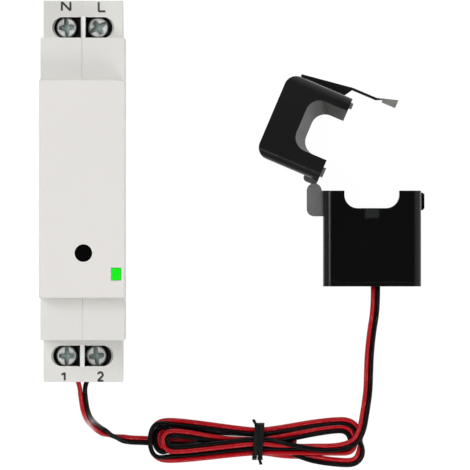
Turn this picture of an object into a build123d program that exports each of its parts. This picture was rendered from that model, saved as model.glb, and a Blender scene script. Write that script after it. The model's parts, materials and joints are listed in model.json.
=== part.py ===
from build123d import *
import os
from math import ceil, pi, radians, tan

os.makedirs("parts", exist_ok=True)

# A one-module DIN-rail energy monitor lies on its back, +Z out of its front.
# Its split-core current transformer lies open beside it on a twin lead.
# The origin is under the middle of the two, on the surface they lie on.

# Whole set
SET_WIDTH = 80.64
OVERRUN = 1.0
FIT = 0.05
GAP = 0.1

# Parts on the main board: places along Y and Z, and height off the board
CORE_SIZE = (9.5, 14.0, 12.0)
CORE_Y = -1.0
CORE_Z = 26.0
COIL_WINDOW = 3.0
COIL_LEG = 4.2
COIL_BULGE = 1.2
CAPACITOR_RADIUS = 4.0
CAPACITOR_LENGTH = 11.0
CAPACITOR_Y = 13.0
CAPACITOR_Z = 22.5
CAPACITOR_PITCH = 8.6
CAPACITOR_ROUND = 0.5
VARISTOR_RADIUS = 3.5
VARISTOR_THICKNESS = 3.2
VARISTOR_Y = -13.6
VARISTOR_Z = 25.0
FUSE_RADIUS = 1.5
FUSE_LENGTH = 6.0
FUSE_Y = -19.0
FUSE_Z = 25.0
CHIP_SIZE = (1.6, 10.0, 4.0)
CHIP_Y = -1.0
CHIP_GAP = 5.3
RADIO_SIZE = (0.8, 16.0, 12.0)
RADIO_Y = 15.0
RADIO_GAP = 1.9
CAN_SIZE = (2.0, 10.5, 9.6)
CAN_WALL = 0.3
CAN_SHIFT = -2.0
HEADER_PITCH = 2.0
HEADER_PINS = 4
HEADER_PIN = 0.6
HEADER_WIDTH = 2.4
HEADER_HEIGHT = 2.6
HEADER_Y = -10.0
BOARD_MARGIN = 2.2

CAPACITOR_TOP = CAPACITOR_Z + CAPACITOR_PITCH + CAPACITOR_RADIUS
RADIO_Z = CAPACITOR_TOP + RADIO_GAP + RADIO_SIZE[2] / 2
CHIP_Z = CORE_Z + CORE_SIZE[2] / 2 + COIL_BULGE + CHIP_GAP + CHIP_SIZE[2] / 2
BOARD_HIGH = RADIO_Z + RADIO_SIZE[2] / 2 + BOARD_MARGIN

# Housing of the monitor, in three steps of width and height
NOSE_WIDTH = 18.0
NOSE_RISE = 6.5
SHOULDER_WIDTH = 17.5
SHOULDER_HEIGHT = 63.0
END_WIDTH = 16.5
END_HEIGHT = 79.65
END_TOP = 44.0
NOSE_SHIFT = 0.475
WALL = 1.3
BOARD_HEADROOM = 7.0
BACK_SLOPE = 6.0
BACK_RISE = 12.0
SEAM_SHIFT = -0.05
SEAM_BEVEL = 0.15

# Recess for a 35 mm top-hat rail
RAIL_SLOT = 35.5
RAIL_DEPTH = 6.5
LIP_ROOM = 1.15
HOOK_REACH = 1.35

BAY_TOP = BOARD_HIGH + BOARD_HEADROOM
SHOULDER_TOP = BAY_TOP + WALL
NOSE_TOP = SHOULDER_TOP + NOSE_RISE
METER_X = -SET_WIDTH / 2 + NOSE_WIDTH / 2
SEAM_X = METER_X + SEAM_SHIFT
SHOULDER_HALF = SHOULDER_HEIGHT / 2
END_HALF = END_HEIGHT / 2
RAIL_HALF = RAIL_SLOT / 2

# Bay for the electronics and its mouth under the nose
BAY_LENGTH = 60.0
MOUTH_WIDTH = 14.8
BAY_FLOOR = RAIL_DEPTH + WALL

# Terminals: openings, screws, rising cages and bars
RIB = 0.8
WIRE_RIB = 0.5
TOP_RIB_X = 0.05
LOW_RIB_X = -0.15
OPENING_WIDTH = 6.2
OPENING_HEIGHT = 4.5
OPENING_DEPTH = 4.0
TOP_SCREW_Y = 33.75
LOW_SCREW_Y = -34.85
SCREW_N_X = -3.42
SCREW_L_X = 3.15
SCREW_1_X = -3.4
SCREW_2_X = 2.76
HEAD_RADIUS = 2.1
HEAD_HEIGHT = 2.3
HEAD_SINK = 2.1
HEAD_BEVEL = 0.3
DRIVE_SLOT = 0.65
DRIVE_DEPTH = 1.1
DRIVE_CROSS = 2.9
DRIVE_ANGLES = {"n": 95.0, "l": 30.0, "1": 90.0, "2": 98.0}
SHANK_RADIUS = 1.5
CAGE_WIDTH = 4.7
CAGE_LENGTH = 5.0
CAGE_WALL = 0.7
CAGE_TRAVEL = 3.5
CORE_DIAMETER = 0.7
BAR_LEVEL = 33.0
BAR_THICKNESS = 0.8
BAR_WIDTH = 2.6
BAR_TIP = 1.6
ENTRY_WIDTH = 5.3
ENTRY_DROP = 5.8
ENTRY_BEVEL = 0.4
LEG_WIDTH = 1.4
NEAR_LEG_Y = 26.8
FAR_LEG_Y = 23.6

HEAD_TOP = END_TOP - HEAD_SINK
HEAD_BASE = HEAD_TOP - HEAD_HEIGHT
BAR_TOP = BAR_LEVEL + BAR_THICKNESS
SHUT_GAP = CORE_DIAMETER + FIT
CAGE_INSIDE = CAGE_TRAVEL + SHUT_GAP + BAR_THICKNESS + GAP
CAGE_HEIGHT = CAGE_INSIDE + 2 * CAGE_WALL
CAGE_LOW = BAR_LEVEL - CAGE_TRAVEL - SHUT_GAP - CAGE_WALL
CAGE_HIGH = CAGE_LOW + CAGE_HEIGHT + CAGE_TRAVEL

# Rivets, board pegs and the rail clip
RIVET_RADIUS = 1.2
RIVET_HEAD_RADIUS = 1.9
RIVET_HEAD = 0.35
RIVET_BORE = 0.65
RIVET_Y = 26.6
RIVET_LOW_Z = 12.2
RIVET_DROP = 4.9
BOSS_RADIUS = 2.2
BOARD_THICKNESS = 1.6
BOARD_LENGTH = 56.0
BOARD_LOW = 15.6
BOARD_STANDOFF = 0.9
PEG_RADIUS = 1.1
PEG_Y = 24.5
PEG_RISE = 2.8
PEG_DROP = 2.6
CLIP_WIDTH = 10.0
CLIP_THICKNESS = 1.8
CLIP_LENGTH = 19.0
CLIP_SKIN = 1.2
CLIP_SLOT = 7.0
CLIP_TRAVEL = 3.5
CLIP_NOSE_LENGTH = 3.2
CLIP_NOSE_WIDTH = 8.0
CLIP_TAB_SLOT = 1.4
CLIP_TAB_WIDTH = 4.0
SPRING_RADIUS = 1.1
SPRING_WIRE = 0.35
SPRING_LENGTH = 7.0
SPRING_TURNS = 6

RIVET_HIGH_Z = SHOULDER_TOP - RIVET_DROP
PEG_LOW_Z = BOARD_LOW + PEG_RISE
PEG_HIGH_Z = BOARD_HIGH - PEG_DROP
CLIP_NOSE_TOP = RAIL_DEPTH - LIP_ROOM - GAP
CLIP_FRONT_Y = HOOK_REACH - RAIL_HALF
CLIP_NOSE_BACK = CLIP_FRONT_Y - CLIP_NOSE_LENGTH
SPRING_END_Y = CLIP_NOSE_BACK - SPRING_LENGTH
SPRING_Z = CLIP_SKIN + CLIP_THICKNESS + 2 * GAP + SPRING_RADIUS + SPRING_WIRE
BOARD_BACK_X = METER_X - SHOULDER_WIDTH / 2 + WALL + BOARD_STANDOFF
BOARD_FACE_X = BOARD_BACK_X + BOARD_THICKNESS

# Front cover, its board, button and light window
NOSE_FACE = 1.2
NOSE_SIDE = 1.8
NOSE_BEVEL = 0.35
TONGUE_WALL = 0.75
TONGUE_DROP = 2.2
TONGUE_RISE = 1.5
FRONT_BOARD = 1.0
FRONT_BOARD_WIDTH = 13.8
FRONT_BOARD_LENGTH = 40.8
FRONT_BOARD_ROOM = 0.55
MOUTH_ROOM = 0.8
BUTTON_RADIUS = 1.77
BUTTON_X = 0.23
BUTTON_Y = -13.36
BUTTON_SINK = 0.15
BUTTON_FLANGE_RADIUS = 2.5
BUTTON_FLANGE = 0.4
BUTTON_CLEARANCE = 0.06
BUTTON_TRAVEL = 0.35
SWITCH_SIZE = 4.4
SWITCH_HEIGHT = 1.5
PLUNGER_RADIUS = 0.85
PLUNGER_SEAT = 0.6
LIGHT_X = 7.05
LIGHT_Y = -17.73
LIGHT_WIDTH = 1.9
LIGHT_HEIGHT = 2.46
LED_WIDTH = 1.2
LED_HEIGHT = 0.7

NOSE_HEIGHT = FRONT_BOARD_LENGTH + 2 * (FRONT_BOARD_ROOM + NOSE_SIDE)
MOUTH_LENGTH = FRONT_BOARD_LENGTH + 2 * MOUTH_ROOM
TONGUE_TOP = SHOULDER_TOP + TONGUE_RISE
FRONT_BOARD_TOP = TONGUE_TOP + FRONT_BOARD
SWITCH_TOP = FRONT_BOARD_TOP + SWITCH_HEIGHT
FACE_BACK = NOSE_TOP - NOSE_FACE

# Current transformer, drawn shut and then swung open about its pin
CT_THICKNESS = 18.0
LOWER_WIDTH = 20.62
LOWER_HEIGHT = 20.16
PARTING_Y = 0.21
NUB_PROUD = 0.75
NUB_HEIGHT = 3.7
NUB_WIDTH = 2.8
NUB_DROP = 0.4
CT_WALL = 1.0
CT_ROUND = 1.8
LOWER_WINDOW = 11.53
LOWER_WINDOW_DEPTH = 3.69
LOWER_WINDOW_RIGHT = 4.6
WINDOW_ROUND = 2.8
BASE_PLATE = 0.85
BASE_RIM = 1.0
OPEN_ANGLE = 67.0
PIVOT_OUT = 1.85
UPPER_START = 2.2
UPPER_WIDTH = 18.7
UPPER_HEIGHT = 14.4
UPPER_ROUND = 2.6
UPPER_WINDOW_START = 6.9
UPPER_WINDOW_END = 18.1
UPPER_WINDOW_HEIGHT = 8.1
UPPER_WINDOW_ROUND = 3.0
UPPER_FLARE = 2.2
UPPER_FLARE_DEPTH = 6.0
LEFT_POLE_START = 3.2
LEFT_POLE = 2.1
RIGHT_POLE_START = 18.75
RIGHT_POLE = 1.3
CORE_DEPTH = 12.6
UPPER_CORE_BACK = 2.4
CORE_SEAT = 1.3
POLE_PROUD = 0.6
LOWER_CORE_BAR = 3.0
LOWER_CORE_BAR_DROP = 10.4
FORMER_WALL = 0.7
FORMER_FLANGE = 0.8
FORMER_RISE = 2.6
WINDING_RISE = 2.1
KNUCKLE_RADIUS = 1.5
KNUCKLE_WIDTH = 5.8
EAR_RADIUS = 1.55
EAR_WIDTH = 4.0
EAR_HEIGHT = 5.4
BRACKET_WALL = 0.8
PIN_RADIUS = 0.6
PIN_CLEARANCE = 0.05
PIN_HEAD = 0.5
PIN_COVER = 0.8
LEAF_START = 1.1
LEAF_HEIGHT = 3.1
LEAF_ROUND = 0.9
LEAF_INSET = 2.0
LEAF_DEPTH = 8.0
LEAF_METAL = 0.3
STRAP_WIDTH = 7.0
STRAP_ROOT_HEIGHT = 11.2
STRAP_ROOT_RADIUS = 0.5
STRAP_HEEL = 0.8
STRAP_THICKNESS = 0.55
STRAP_BEND_HIGH = 1.9
STRAP_BEND_LOW = 0.9
STRAP_SLOT = 3.2
STRAP_SLOT_HIGH = 0.6
STRAP_NECK = 1.45
STRAP_RAMP = 1.15
STRAP_LIP = 0.25
STRAP_KICK = 0.6
STRAP_GRIP = 1.3
STRAP_DROP = 8.9
RETAINER_WIDTH = 2.85
RETAINER_HEIGHT = 2.0
RETAINER_LEG = 0.8
CT_BOARD = 0.8
CT_BOARD_GAP = 0.4
CT_BOARD_WIDTH = 12.0
CT_BOARD_DEPTH = 10.0
DIODE_RADIUS = 0.9
DIODE_LENGTH = 4.0
BUSH_LENGTH = 3.4
BUSH_WIDTH = 2.6
LEAD_FROM_RIGHT = 9.55

CT_RIGHT = SET_WIDTH / 2 - NUB_PROUD
CT_LEFT = CT_RIGHT - LOWER_WIDTH
CT_BOTTOM = PARTING_Y + GAP / 10 - LOWER_HEIGHT
CT_MIDDLE_Z = CT_THICKNESS / 2
PIVOT_X = CT_LEFT - PIVOT_OUT
LEAD_EXIT_X = CT_RIGHT - LEAD_FROM_RIGHT
POLE_HALF = CORE_DEPTH / 2
UPPER_END = UPPER_START + UPPER_WIDTH
SHUT_GAP_Y = GAP

# Twin lead: two bonded wires side by side, its route and its hank
WIRE = 1.0
TWIN = 2.0
RUN_SHARE = 0.45
TAIL_START = 0.8
TAIL_RUN = 1.2
TAIL_SHIFT = 1.2
LAYER_GAP = 0.45
FLOOR_GAP = 0.25
GAP_STEP = 0.5
GAP_SKIP = 7.0
ACROSS_SHARES = (-1.0, -0.5, 0.0, 0.5, 1.0)
TIE_LENGTH = 2.5
TIE_BAND = 0.2
TIE_GAP = 0.15


def slab(x, y, z, mode=Mode.ADD):
    """Box between two values of each coordinate."""
    middle = tuple((low + high) / 2 for low, high in (x, y, z))
    with Locations(middle):
        Box(*(abs(high - low) for low, high in (x, y, z)), mode=mode)


def rod(plane, radius, length, mode=Mode.ADD):
    """Round bar that starts on a plane and runs along its normal."""
    with Locations(plane.location):
        Cylinder(radius, length, align=(Align.CENTER, Align.CENTER, Align.MIN), mode=mode)


def finish(name, built):
    """Label a finished piece and write it."""
    built.part.label = name
    export_step(built.part, f"parts/{name}.step")


def around(middle, size):
    """Low and high value of a size centred on a place."""
    return (middle - size / 2, middle + size / 2)


def rib_x(end):
    """Middle of the rib between the two terminals of one end."""
    return METER_X + (TOP_RIB_X if end > 0 else LOW_RIB_X)


# Each terminal: its screw's place, its end of the housing and its side
TERMINALS = {
    "n": (METER_X + SCREW_N_X, NOSE_SHIFT + TOP_SCREW_Y, 1, -1),
    "l": (METER_X + SCREW_L_X, NOSE_SHIFT + TOP_SCREW_Y, 1, 1),
    "1": (METER_X + SCREW_1_X, NOSE_SHIFT + LOW_SCREW_Y, -1, -1),
    "2": (METER_X + SCREW_2_X, NOSE_SHIFT + LOW_SCREW_Y, -1, 1),
}
RIVETS = [
    (NOSE_SHIFT + side * RIVET_Y, z) for side in (-1, 1) for z in (RIVET_LOW_Z, RIVET_HIGH_Z)
]
PEGS = [(NOSE_SHIFT + side * PEG_Y, z) for side in (-1, 1) for z in (PEG_LOW_Z, PEG_HIGH_Z)]
SHOULDERS = (NOSE_SHIFT - SHOULDER_HALF, NOSE_SHIFT + SHOULDER_HALF)
SIDE_PROFILE = [
    (-END_HALF, BACK_RISE),
    (-END_HALF + BACK_SLOPE, 0),
    (-RAIL_HALF, 0),
    (-RAIL_HALF, RAIL_DEPTH),
    (RAIL_HALF, RAIL_DEPTH),
    (RAIL_HALF, RAIL_DEPTH - LIP_ROOM),
    (RAIL_HALF - HOOK_REACH, RAIL_DEPTH - LIP_ROOM),
    (RAIL_HALF - HOOK_REACH, 0),
    (END_HALF - BACK_SLOPE, 0),
    (END_HALF, BACK_RISE),
    (END_HALF, END_TOP),
    (SHOULDERS[1], END_TOP),
    (SHOULDERS[1], SHOULDER_TOP),
    (SHOULDERS[0], SHOULDER_TOP),
    (SHOULDERS[0], END_TOP),
    (-END_HALF, END_TOP),
]


def screw_opening(y, end, side):
    """Outline of a screw opening, rounded on its outer side."""
    inner = rib_x(end) + side * RIB / 2
    straight = inner + side * (OPENING_WIDTH - OPENING_HEIGHT / 2)
    low, high = around(y, OPENING_HEIGHT)
    with BuildSketch(Plane.XY.offset(END_TOP - OPENING_DEPTH)) as outline:
        with BuildLine():
            Line((inner, low), (straight, low))
            ThreePointArc((straight, low), (inner + side * OPENING_WIDTH, y), (straight, high))
            Line((straight, high), (inner, high))
            Line((inner, high), (inner, low))
        make_face()
    return outline.sketch


def cut_terminal(x, y, end, side):
    """Cage room, screw bore, screw opening, wire entry and bar slot."""
    room_y = around(y, CAGE_LENGTH + 2 * GAP)
    slab(around(x, CAGE_WIDTH + 2 * GAP), room_y, (CAGE_LOW - GAP, CAGE_HIGH + GAP),
         mode=Mode.SUBTRACT)
    rod(Plane((x, y, CAGE_HIGH)), SHANK_RADIUS + GAP, HEAD_BASE - CAGE_HIGH, mode=Mode.SUBTRACT)
    rod(Plane((x, y, HEAD_BASE)), HEAD_RADIUS + GAP, END_TOP - HEAD_BASE, mode=Mode.SUBTRACT)
    extrude(screw_opening(y, end, side), amount=OPENING_DEPTH + OVERRUN, mode=Mode.SUBTRACT)
    inner = rib_x(end) + side * WIRE_RIB / 2
    outer = inner + side * ENTRY_WIDTH
    face_y = end * END_HALF
    entry_z = (BAR_TOP - ENTRY_DROP, BAR_TOP)
    slab((inner, outer), (y, face_y + end * OVERRUN), entry_z, mode=Mode.SUBTRACT)
    slab((inner, outer + side * ENTRY_BEVEL), (face_y - end * ENTRY_BEVEL, face_y + end * OVERRUN),
         (entry_z[0] - ENTRY_BEVEL, entry_z[1] + ENTRY_BEVEL), mode=Mode.SUBTRACT)
    bay_y = NOSE_SHIFT + end * BAY_LENGTH / 2
    slab(around(x, BAR_WIDTH + 2 * GAP), (bay_y - end * OVERRUN, y),
         (BAR_LEVEL - GAP, BAR_TOP + GAP), mode=Mode.SUBTRACT)


def cut_clip_way():
    """Channel for the rail clip, open at the back, with its spring's room."""
    outside = -END_HALF - OVERRUN
    nose_y = (CLIP_NOSE_BACK - CLIP_TRAVEL - GAP, OVERRUN - RAIL_HALF)
    plate_z = (CLIP_SKIN, CLIP_SKIN + CLIP_THICKNESS + 2 * GAP)
    slab(around(METER_X, CLIP_WIDTH + 2 * GAP), (outside, nose_y[1]), plate_z, mode=Mode.SUBTRACT)
    slab(around(METER_X, CLIP_SLOT), (outside, nose_y[1]), (-OVERRUN, plate_z[1]),
         mode=Mode.SUBTRACT)
    slab(around(METER_X, CLIP_NOSE_WIDTH + 2 * GAP), nose_y, (CLIP_SKIN, CLIP_NOSE_TOP + GAP),
         mode=Mode.SUBTRACT)
    slab(around(METER_X, 2 * (SPRING_RADIUS + SPRING_WIRE)), (SPRING_END_Y, nose_y[1]),
         (CLIP_SKIN, SPRING_Z + SPRING_RADIUS + SPRING_WIRE), mode=Mode.SUBTRACT)


def housing_half(side):
    """One moulded half of the housing: -1 is the left one, 1 the right."""
    depth = SHOULDER_WIDTH / 2 - side * SEAM_SHIFT
    wall_x = METER_X + side * (SHOULDER_WIDTH / 2 - WALL)
    with BuildPart() as half:
        with BuildSketch(Plane.YZ.offset(SEAM_X)):
            with BuildLine():
                Polyline(*SIDE_PROFILE, close=True)
            make_face()
        extrude(amount=side * depth)
        outer_x = METER_X + side * SHOULDER_WIDTH / 2
        for end, step in zip((-1, 1), SHOULDERS):
            slab((METER_X + side * END_WIDTH / 2, outer_x + side * OVERRUN),
                 (step, end * (END_HALF + OVERRUN)), (-OVERRUN, END_TOP + OVERRUN),
                 mode=Mode.SUBTRACT)
        slab((SEAM_X - side * OVERRUN, wall_x), around(NOSE_SHIFT, BAY_LENGTH),
             (BAY_FLOOR, BAY_TOP), mode=Mode.SUBTRACT)
        slab((SEAM_X - side * OVERRUN, METER_X + side * MOUTH_WIDTH / 2),
             around(NOSE_SHIFT, MOUTH_LENGTH), (BAY_TOP - OVERRUN, SHOULDER_TOP + OVERRUN),
             mode=Mode.SUBTRACT)
        for y, z in RIVETS:
            rod(Plane((SEAM_X, y, z), z_dir=(side, 0, 0)), BOSS_RADIUS, depth - WALL / 2)
        seat_x = BOARD_BACK_X if side < 0 else BOARD_FACE_X + GAP
        for y, z in PEGS:
            rod(Plane((wall_x + side * WALL / 2, y, z), z_dir=(-side, 0, 0)),
                PEG_RADIUS, abs(wall_x + side * WALL / 2 - seat_x))
        for y, z in RIVETS:
            rod(Plane((SEAM_X - side * OVERRUN, y, z), z_dir=(side, 0, 0)),
                RIVET_RADIUS + FIT, depth + 2 * OVERRUN, mode=Mode.SUBTRACT)
            rod(Plane((outer_x - side * RIVET_HEAD, y, z), z_dir=(side, 0, 0)),
                RIVET_HEAD_RADIUS + GAP, RIVET_HEAD + OVERRUN, mode=Mode.SUBTRACT)
        for x, y, end, own_side in TERMINALS.values():
            if own_side == side:
                cut_terminal(x, y, end, side)
        cut_clip_way()
        seam_edges = half.edges().filter_by(Axis.Y).filter_by(
            lambda edge: abs(edge.center().X - SEAM_X) < FIT
            and abs(edge.center().Z - SHOULDER_TOP) < FIT)
        chamfer(seam_edges, length=SEAM_BEVEL)
    return half


# Housing halves
finish("housing_left", housing_half(-1))
finish("housing_right", housing_half(1))

# Hollow rivets through both halves
with BuildPart() as rivets:
    for y, z in RIVETS:
        for side in (-1, 1):
            end_x = METER_X + side * SHOULDER_WIDTH / 2
            rod(Plane((end_x, y, z), z_dir=(-side, 0, 0)), RIVET_HEAD_RADIUS, RIVET_HEAD)
            rod(Plane((end_x, y, z), z_dir=(-side, 0, 0)), RIVET_RADIUS, SHOULDER_WIDTH / 2)
    for y, z in RIVETS:
        start = METER_X - SHOULDER_WIDTH / 2 - OVERRUN
        rod(Plane((start, y, z), z_dir=(1, 0, 0)), RIVET_BORE, SHOULDER_WIDTH + 2 * OVERRUN,
            mode=Mode.SUBTRACT)
finish("housing_rivets", rivets)

# Front cover: a shallow cap with a tongue that drops into the bay's mouth
BUTTON_PLACE = (METER_X + BUTTON_X, NOSE_SHIFT + BUTTON_Y)
LIGHT_PLACE = (METER_X + LIGHT_X, NOSE_SHIFT + LIGHT_Y)
with BuildPart() as cover:
    slab(around(METER_X, NOSE_WIDTH), around(NOSE_SHIFT, NOSE_HEIGHT), (SHOULDER_TOP, NOSE_TOP))
    chamfer(cover.faces().sort_by(Axis.Z)[-1].edges(), length=NOSE_BEVEL)
    tongue_z = (SHOULDER_TOP - TONGUE_DROP, SHOULDER_TOP)
    slab(around(METER_X, MOUTH_WIDTH - 2 * GAP), around(NOSE_SHIFT, MOUTH_LENGTH - 2 * GAP),
         tongue_z)
    slab(around(METER_X, MOUTH_WIDTH - 2 * (GAP + TONGUE_WALL)),
         around(NOSE_SHIFT, MOUTH_LENGTH - 2 * (GAP + TONGUE_WALL)),
         (tongue_z[0] - OVERRUN, TONGUE_TOP + FIT), mode=Mode.SUBTRACT)
    slab(around(METER_X, NOSE_WIDTH - 2 * NOSE_SIDE), around(NOSE_SHIFT, NOSE_HEIGHT - 2 * NOSE_SIDE),
         (TONGUE_TOP, FACE_BACK), mode=Mode.SUBTRACT)
    rod(Plane((*BUTTON_PLACE, FACE_BACK - OVERRUN)), BUTTON_RADIUS + BUTTON_CLEARANCE,
        NOSE_FACE + 2 * OVERRUN, mode=Mode.SUBTRACT)
    slab(around(LIGHT_PLACE[0], LIGHT_WIDTH + 2 * FIT), around(LIGHT_PLACE[1], LIGHT_HEIGHT + 2 * FIT),
         (FRONT_BOARD_TOP, NOSE_TOP + OVERRUN), mode=Mode.SUBTRACT)
finish("front_cover", cover)

# Front board on the tongue's rim, with its switch and light
with BuildPart() as front_board:
    slab(around(METER_X, FRONT_BOARD_WIDTH), around(NOSE_SHIFT, FRONT_BOARD_LENGTH),
         (TONGUE_TOP, FRONT_BOARD_TOP))
finish("front_board", front_board)

with BuildPart() as switch:
    slab(around(BUTTON_PLACE[0], SWITCH_SIZE), around(BUTTON_PLACE[1], SWITCH_SIZE),
         (FRONT_BOARD_TOP, SWITCH_TOP))
    chamfer(switch.edges().filter_by(Axis.Z), length=BUTTON_FLANGE)
    bore_base = SWITCH_TOP - PLUNGER_SEAT - BUTTON_TRAVEL - GAP
    rod(Plane((*BUTTON_PLACE, bore_base)), PLUNGER_RADIUS + FIT, SWITCH_TOP - bore_base,
        mode=Mode.SUBTRACT)
finish("button_switch", switch)

FLANGE_TOP = FACE_BACK - FIT
FLANGE_BASE = FLANGE_TOP - BUTTON_FLANGE
with BuildPart() as plunger:
    rod(Plane((*BUTTON_PLACE, SWITCH_TOP - PLUNGER_SEAT)), PLUNGER_RADIUS,
        FLANGE_BASE - SWITCH_TOP + PLUNGER_SEAT)
finish("switch_plunger", plunger)

with BuildPart() as button:
    rod(Plane((*BUTTON_PLACE, FLANGE_BASE)), BUTTON_FLANGE_RADIUS, BUTTON_FLANGE)
    rod(Plane((*BUTTON_PLACE, FLANGE_TOP)), BUTTON_RADIUS, NOSE_TOP - BUTTON_SINK - FLANGE_TOP)
    fillet(button.faces().sort_by(Axis.Z)[-1].edges(), radius=BUTTON_SINK)
finish("pairing_button", button)

with BuildPart() as led:
    led_x = METER_X + FRONT_BOARD_WIDTH / 2 - LED_WIDTH / 2
    slab(around(led_x, LED_WIDTH), around(LIGHT_PLACE[1], LED_WIDTH),
         (FRONT_BOARD_TOP, FRONT_BOARD_TOP + LED_HEIGHT))
finish("status_led", led)

with BuildPart() as light:
    slab(around(LIGHT_PLACE[0], LIGHT_WIDTH), around(LIGHT_PLACE[1], LIGHT_HEIGHT),
         (FRONT_BOARD_TOP + LED_HEIGHT, NOSE_TOP))
finish("light_window", light)

# Main board, held between the pegs of the two halves
with BuildPart() as main_board:
    slab((BOARD_BACK_X, BOARD_FACE_X), around(NOSE_SHIFT, BOARD_LENGTH), (BOARD_LOW, BOARD_HIGH))
finish("main_board", main_board)


def on_board(size, y, z, lift=0.0, mode=Mode.ADD):
    """Box of a height, length and width that stands on the main board."""
    start = BOARD_FACE_X + lift
    slab((start, start + size[0]), around(NOSE_SHIFT + y, size[1]), around(z, size[2]), mode=mode)


# Transformer of the power supply: a core with two windows and its coil
with BuildPart() as core:
    on_board(CORE_SIZE, CORE_Y, CORE_Z)
    for side in (-1, 1):
        on_board((CORE_SIZE[0] - 2 * COIL_BULGE, COIL_WINDOW, CORE_SIZE[2] + 2 * OVERRUN),
                 CORE_Y + side * (COIL_LEG + COIL_WINDOW) / 2, CORE_Z, COIL_BULGE,
                 mode=Mode.SUBTRACT)
finish("transformer_core", core)

with BuildPart() as coil:
    coil_size = (CORE_SIZE[0] - 2 * COIL_BULGE - 2 * GAP, COIL_LEG + 2 * COIL_WINDOW - 2 * GAP,
                 CORE_SIZE[2] + 2 * COIL_BULGE)
    on_board(coil_size, CORE_Y, CORE_Z, COIL_BULGE + GAP)
    on_board((CORE_SIZE[0], COIL_LEG + 2 * GAP, CORE_SIZE[2]), CORE_Y, CORE_Z, mode=Mode.SUBTRACT)
finish("transformer_coil", coil)

# Smoothing capacitors, standing off the board
with BuildPart() as capacitors:
    for place in (0, 1):
        spot = (BOARD_FACE_X, NOSE_SHIFT + CAPACITOR_Y, CAPACITOR_Z + place * CAPACITOR_PITCH)
        rod(Plane(spot, z_dir=(1, 0, 0)), CAPACITOR_RADIUS, CAPACITOR_LENGTH)
    fillet(capacitors.edges().filter_by(GeomType.CIRCLE).group_by(Axis.X)[-1],
           radius=CAPACITOR_ROUND)
finish("smoothing_capacitors", capacitors)

with BuildPart() as varistor:
    spot = (BOARD_FACE_X + VARISTOR_RADIUS, NOSE_SHIFT + VARISTOR_Y, VARISTOR_Z)
    rod(Plane(spot, z_dir=(0, 1, 0)), VARISTOR_RADIUS, VARISTOR_THICKNESS)
    fillet(varistor.edges().filter_by(GeomType.CIRCLE), radius=CAPACITOR_ROUND)
finish("surge_varistor", varistor)

with BuildPart() as fuse:
    spot = (BOARD_FACE_X + FUSE_RADIUS, NOSE_SHIFT + FUSE_Y, FUSE_Z - FUSE_LENGTH / 2)
    rod(Plane(spot), FUSE_RADIUS, FUSE_LENGTH)
    fillet(fuse.edges().filter_by(GeomType.CIRCLE), radius=CAPACITOR_ROUND)
finish("fuse_resistor", fuse)

with BuildPart() as chip:
    on_board(CHIP_SIZE, CHIP_Y, CHIP_Z)
finish("metering_chip", chip)

with BuildPart() as radio:
    on_board(RADIO_SIZE, RADIO_Y, RADIO_Z)
finish("radio_module", radio)

with BuildPart() as can:
    on_board(CAN_SIZE, RADIO_Y + CAN_SHIFT, RADIO_Z, RADIO_SIZE[0])
    inside = tuple(size - 2 * CAN_WALL for size in CAN_SIZE)
    on_board((inside[0] + CAN_WALL + OVERRUN, inside[1], inside[2]), RADIO_Y + CAN_SHIFT, RADIO_Z,
             RADIO_SIZE[0] - OVERRUN, mode=Mode.SUBTRACT)
finish("radio_shield", can)

# Pin header from the main board up to the front board
with BuildPart() as header:
    length = HEADER_PINS * HEADER_PITCH
    on_board((HEADER_WIDTH, length, HEADER_HEIGHT), HEADER_Y, BOARD_HIGH - HEADER_HEIGHT / 2)
    for pin in range(HEADER_PINS):
        pin_y = NOSE_SHIFT + HEADER_Y + (pin + 0.5) * HEADER_PITCH - length / 2
        slab(around(BOARD_FACE_X + HEADER_WIDTH / 2, HEADER_PIN), around(pin_y, HEADER_PIN),
             (BOARD_HIGH - HEADER_HEIGHT, TONGUE_TOP))
finish("board_header", header)

# Terminals: a screw, a rising cage and a bar to the board for each
for name, (x, y, end, side) in TERMINALS.items():
    rise = CAGE_TRAVEL if end < 0 else 0
    with BuildPart() as screw:
        rod(Plane((x, y, HEAD_BASE)), HEAD_RADIUS, HEAD_HEIGHT)
        chamfer(screw.faces().sort_by(Axis.Z)[-1].edges(), length=HEAD_BEVEL)
        rod(Plane((x, y, BAR_TOP + FIT)), SHANK_RADIUS, HEAD_BASE - BAR_TOP - FIT)
        for length, width in ((2 * HEAD_RADIUS + OVERRUN, DRIVE_SLOT), (DRIVE_SLOT, DRIVE_CROSS)):
            with Locations(Location((x, y, HEAD_TOP), (0, 0, DRIVE_ANGLES[name]))):
                Box(length, width, 2 * DRIVE_DEPTH, mode=Mode.SUBTRACT)
    finish(f"terminal_screw_{name}", screw)

    with BuildPart() as cage:
        low = CAGE_LOW + rise
        slab(around(x, CAGE_WIDTH), around(y, CAGE_LENGTH), (low, low + CAGE_HEIGHT))
        slab(around(x, CAGE_WIDTH - 2 * CAGE_WALL), around(y, CAGE_LENGTH + 2 * OVERRUN),
             (low + CAGE_WALL, low + CAGE_WALL + CAGE_INSIDE), mode=Mode.SUBTRACT)
        rod(Plane((x, y, low + CAGE_INSIDE)), SHANK_RADIUS + FIT, 2 * CAGE_WALL + OVERRUN,
            mode=Mode.SUBTRACT)
    finish(f"terminal_cage_{name}", cage)

    with BuildPart() as bar:
        leg_y = NOSE_SHIFT + end * (NEAR_LEG_Y if side < 0 else FAR_LEG_Y)
        leg_inner = leg_y - end * LEG_WIDTH / 2
        slab(around(x, BAR_WIDTH), (leg_inner, y + end * BAR_TIP), (BAR_LEVEL, BAR_TOP))
        slab((BOARD_FACE_X, x), around(leg_y, LEG_WIDTH), (BAR_LEVEL, BAR_TOP))
    finish(f"contact_bar_{name}", bar)

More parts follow.
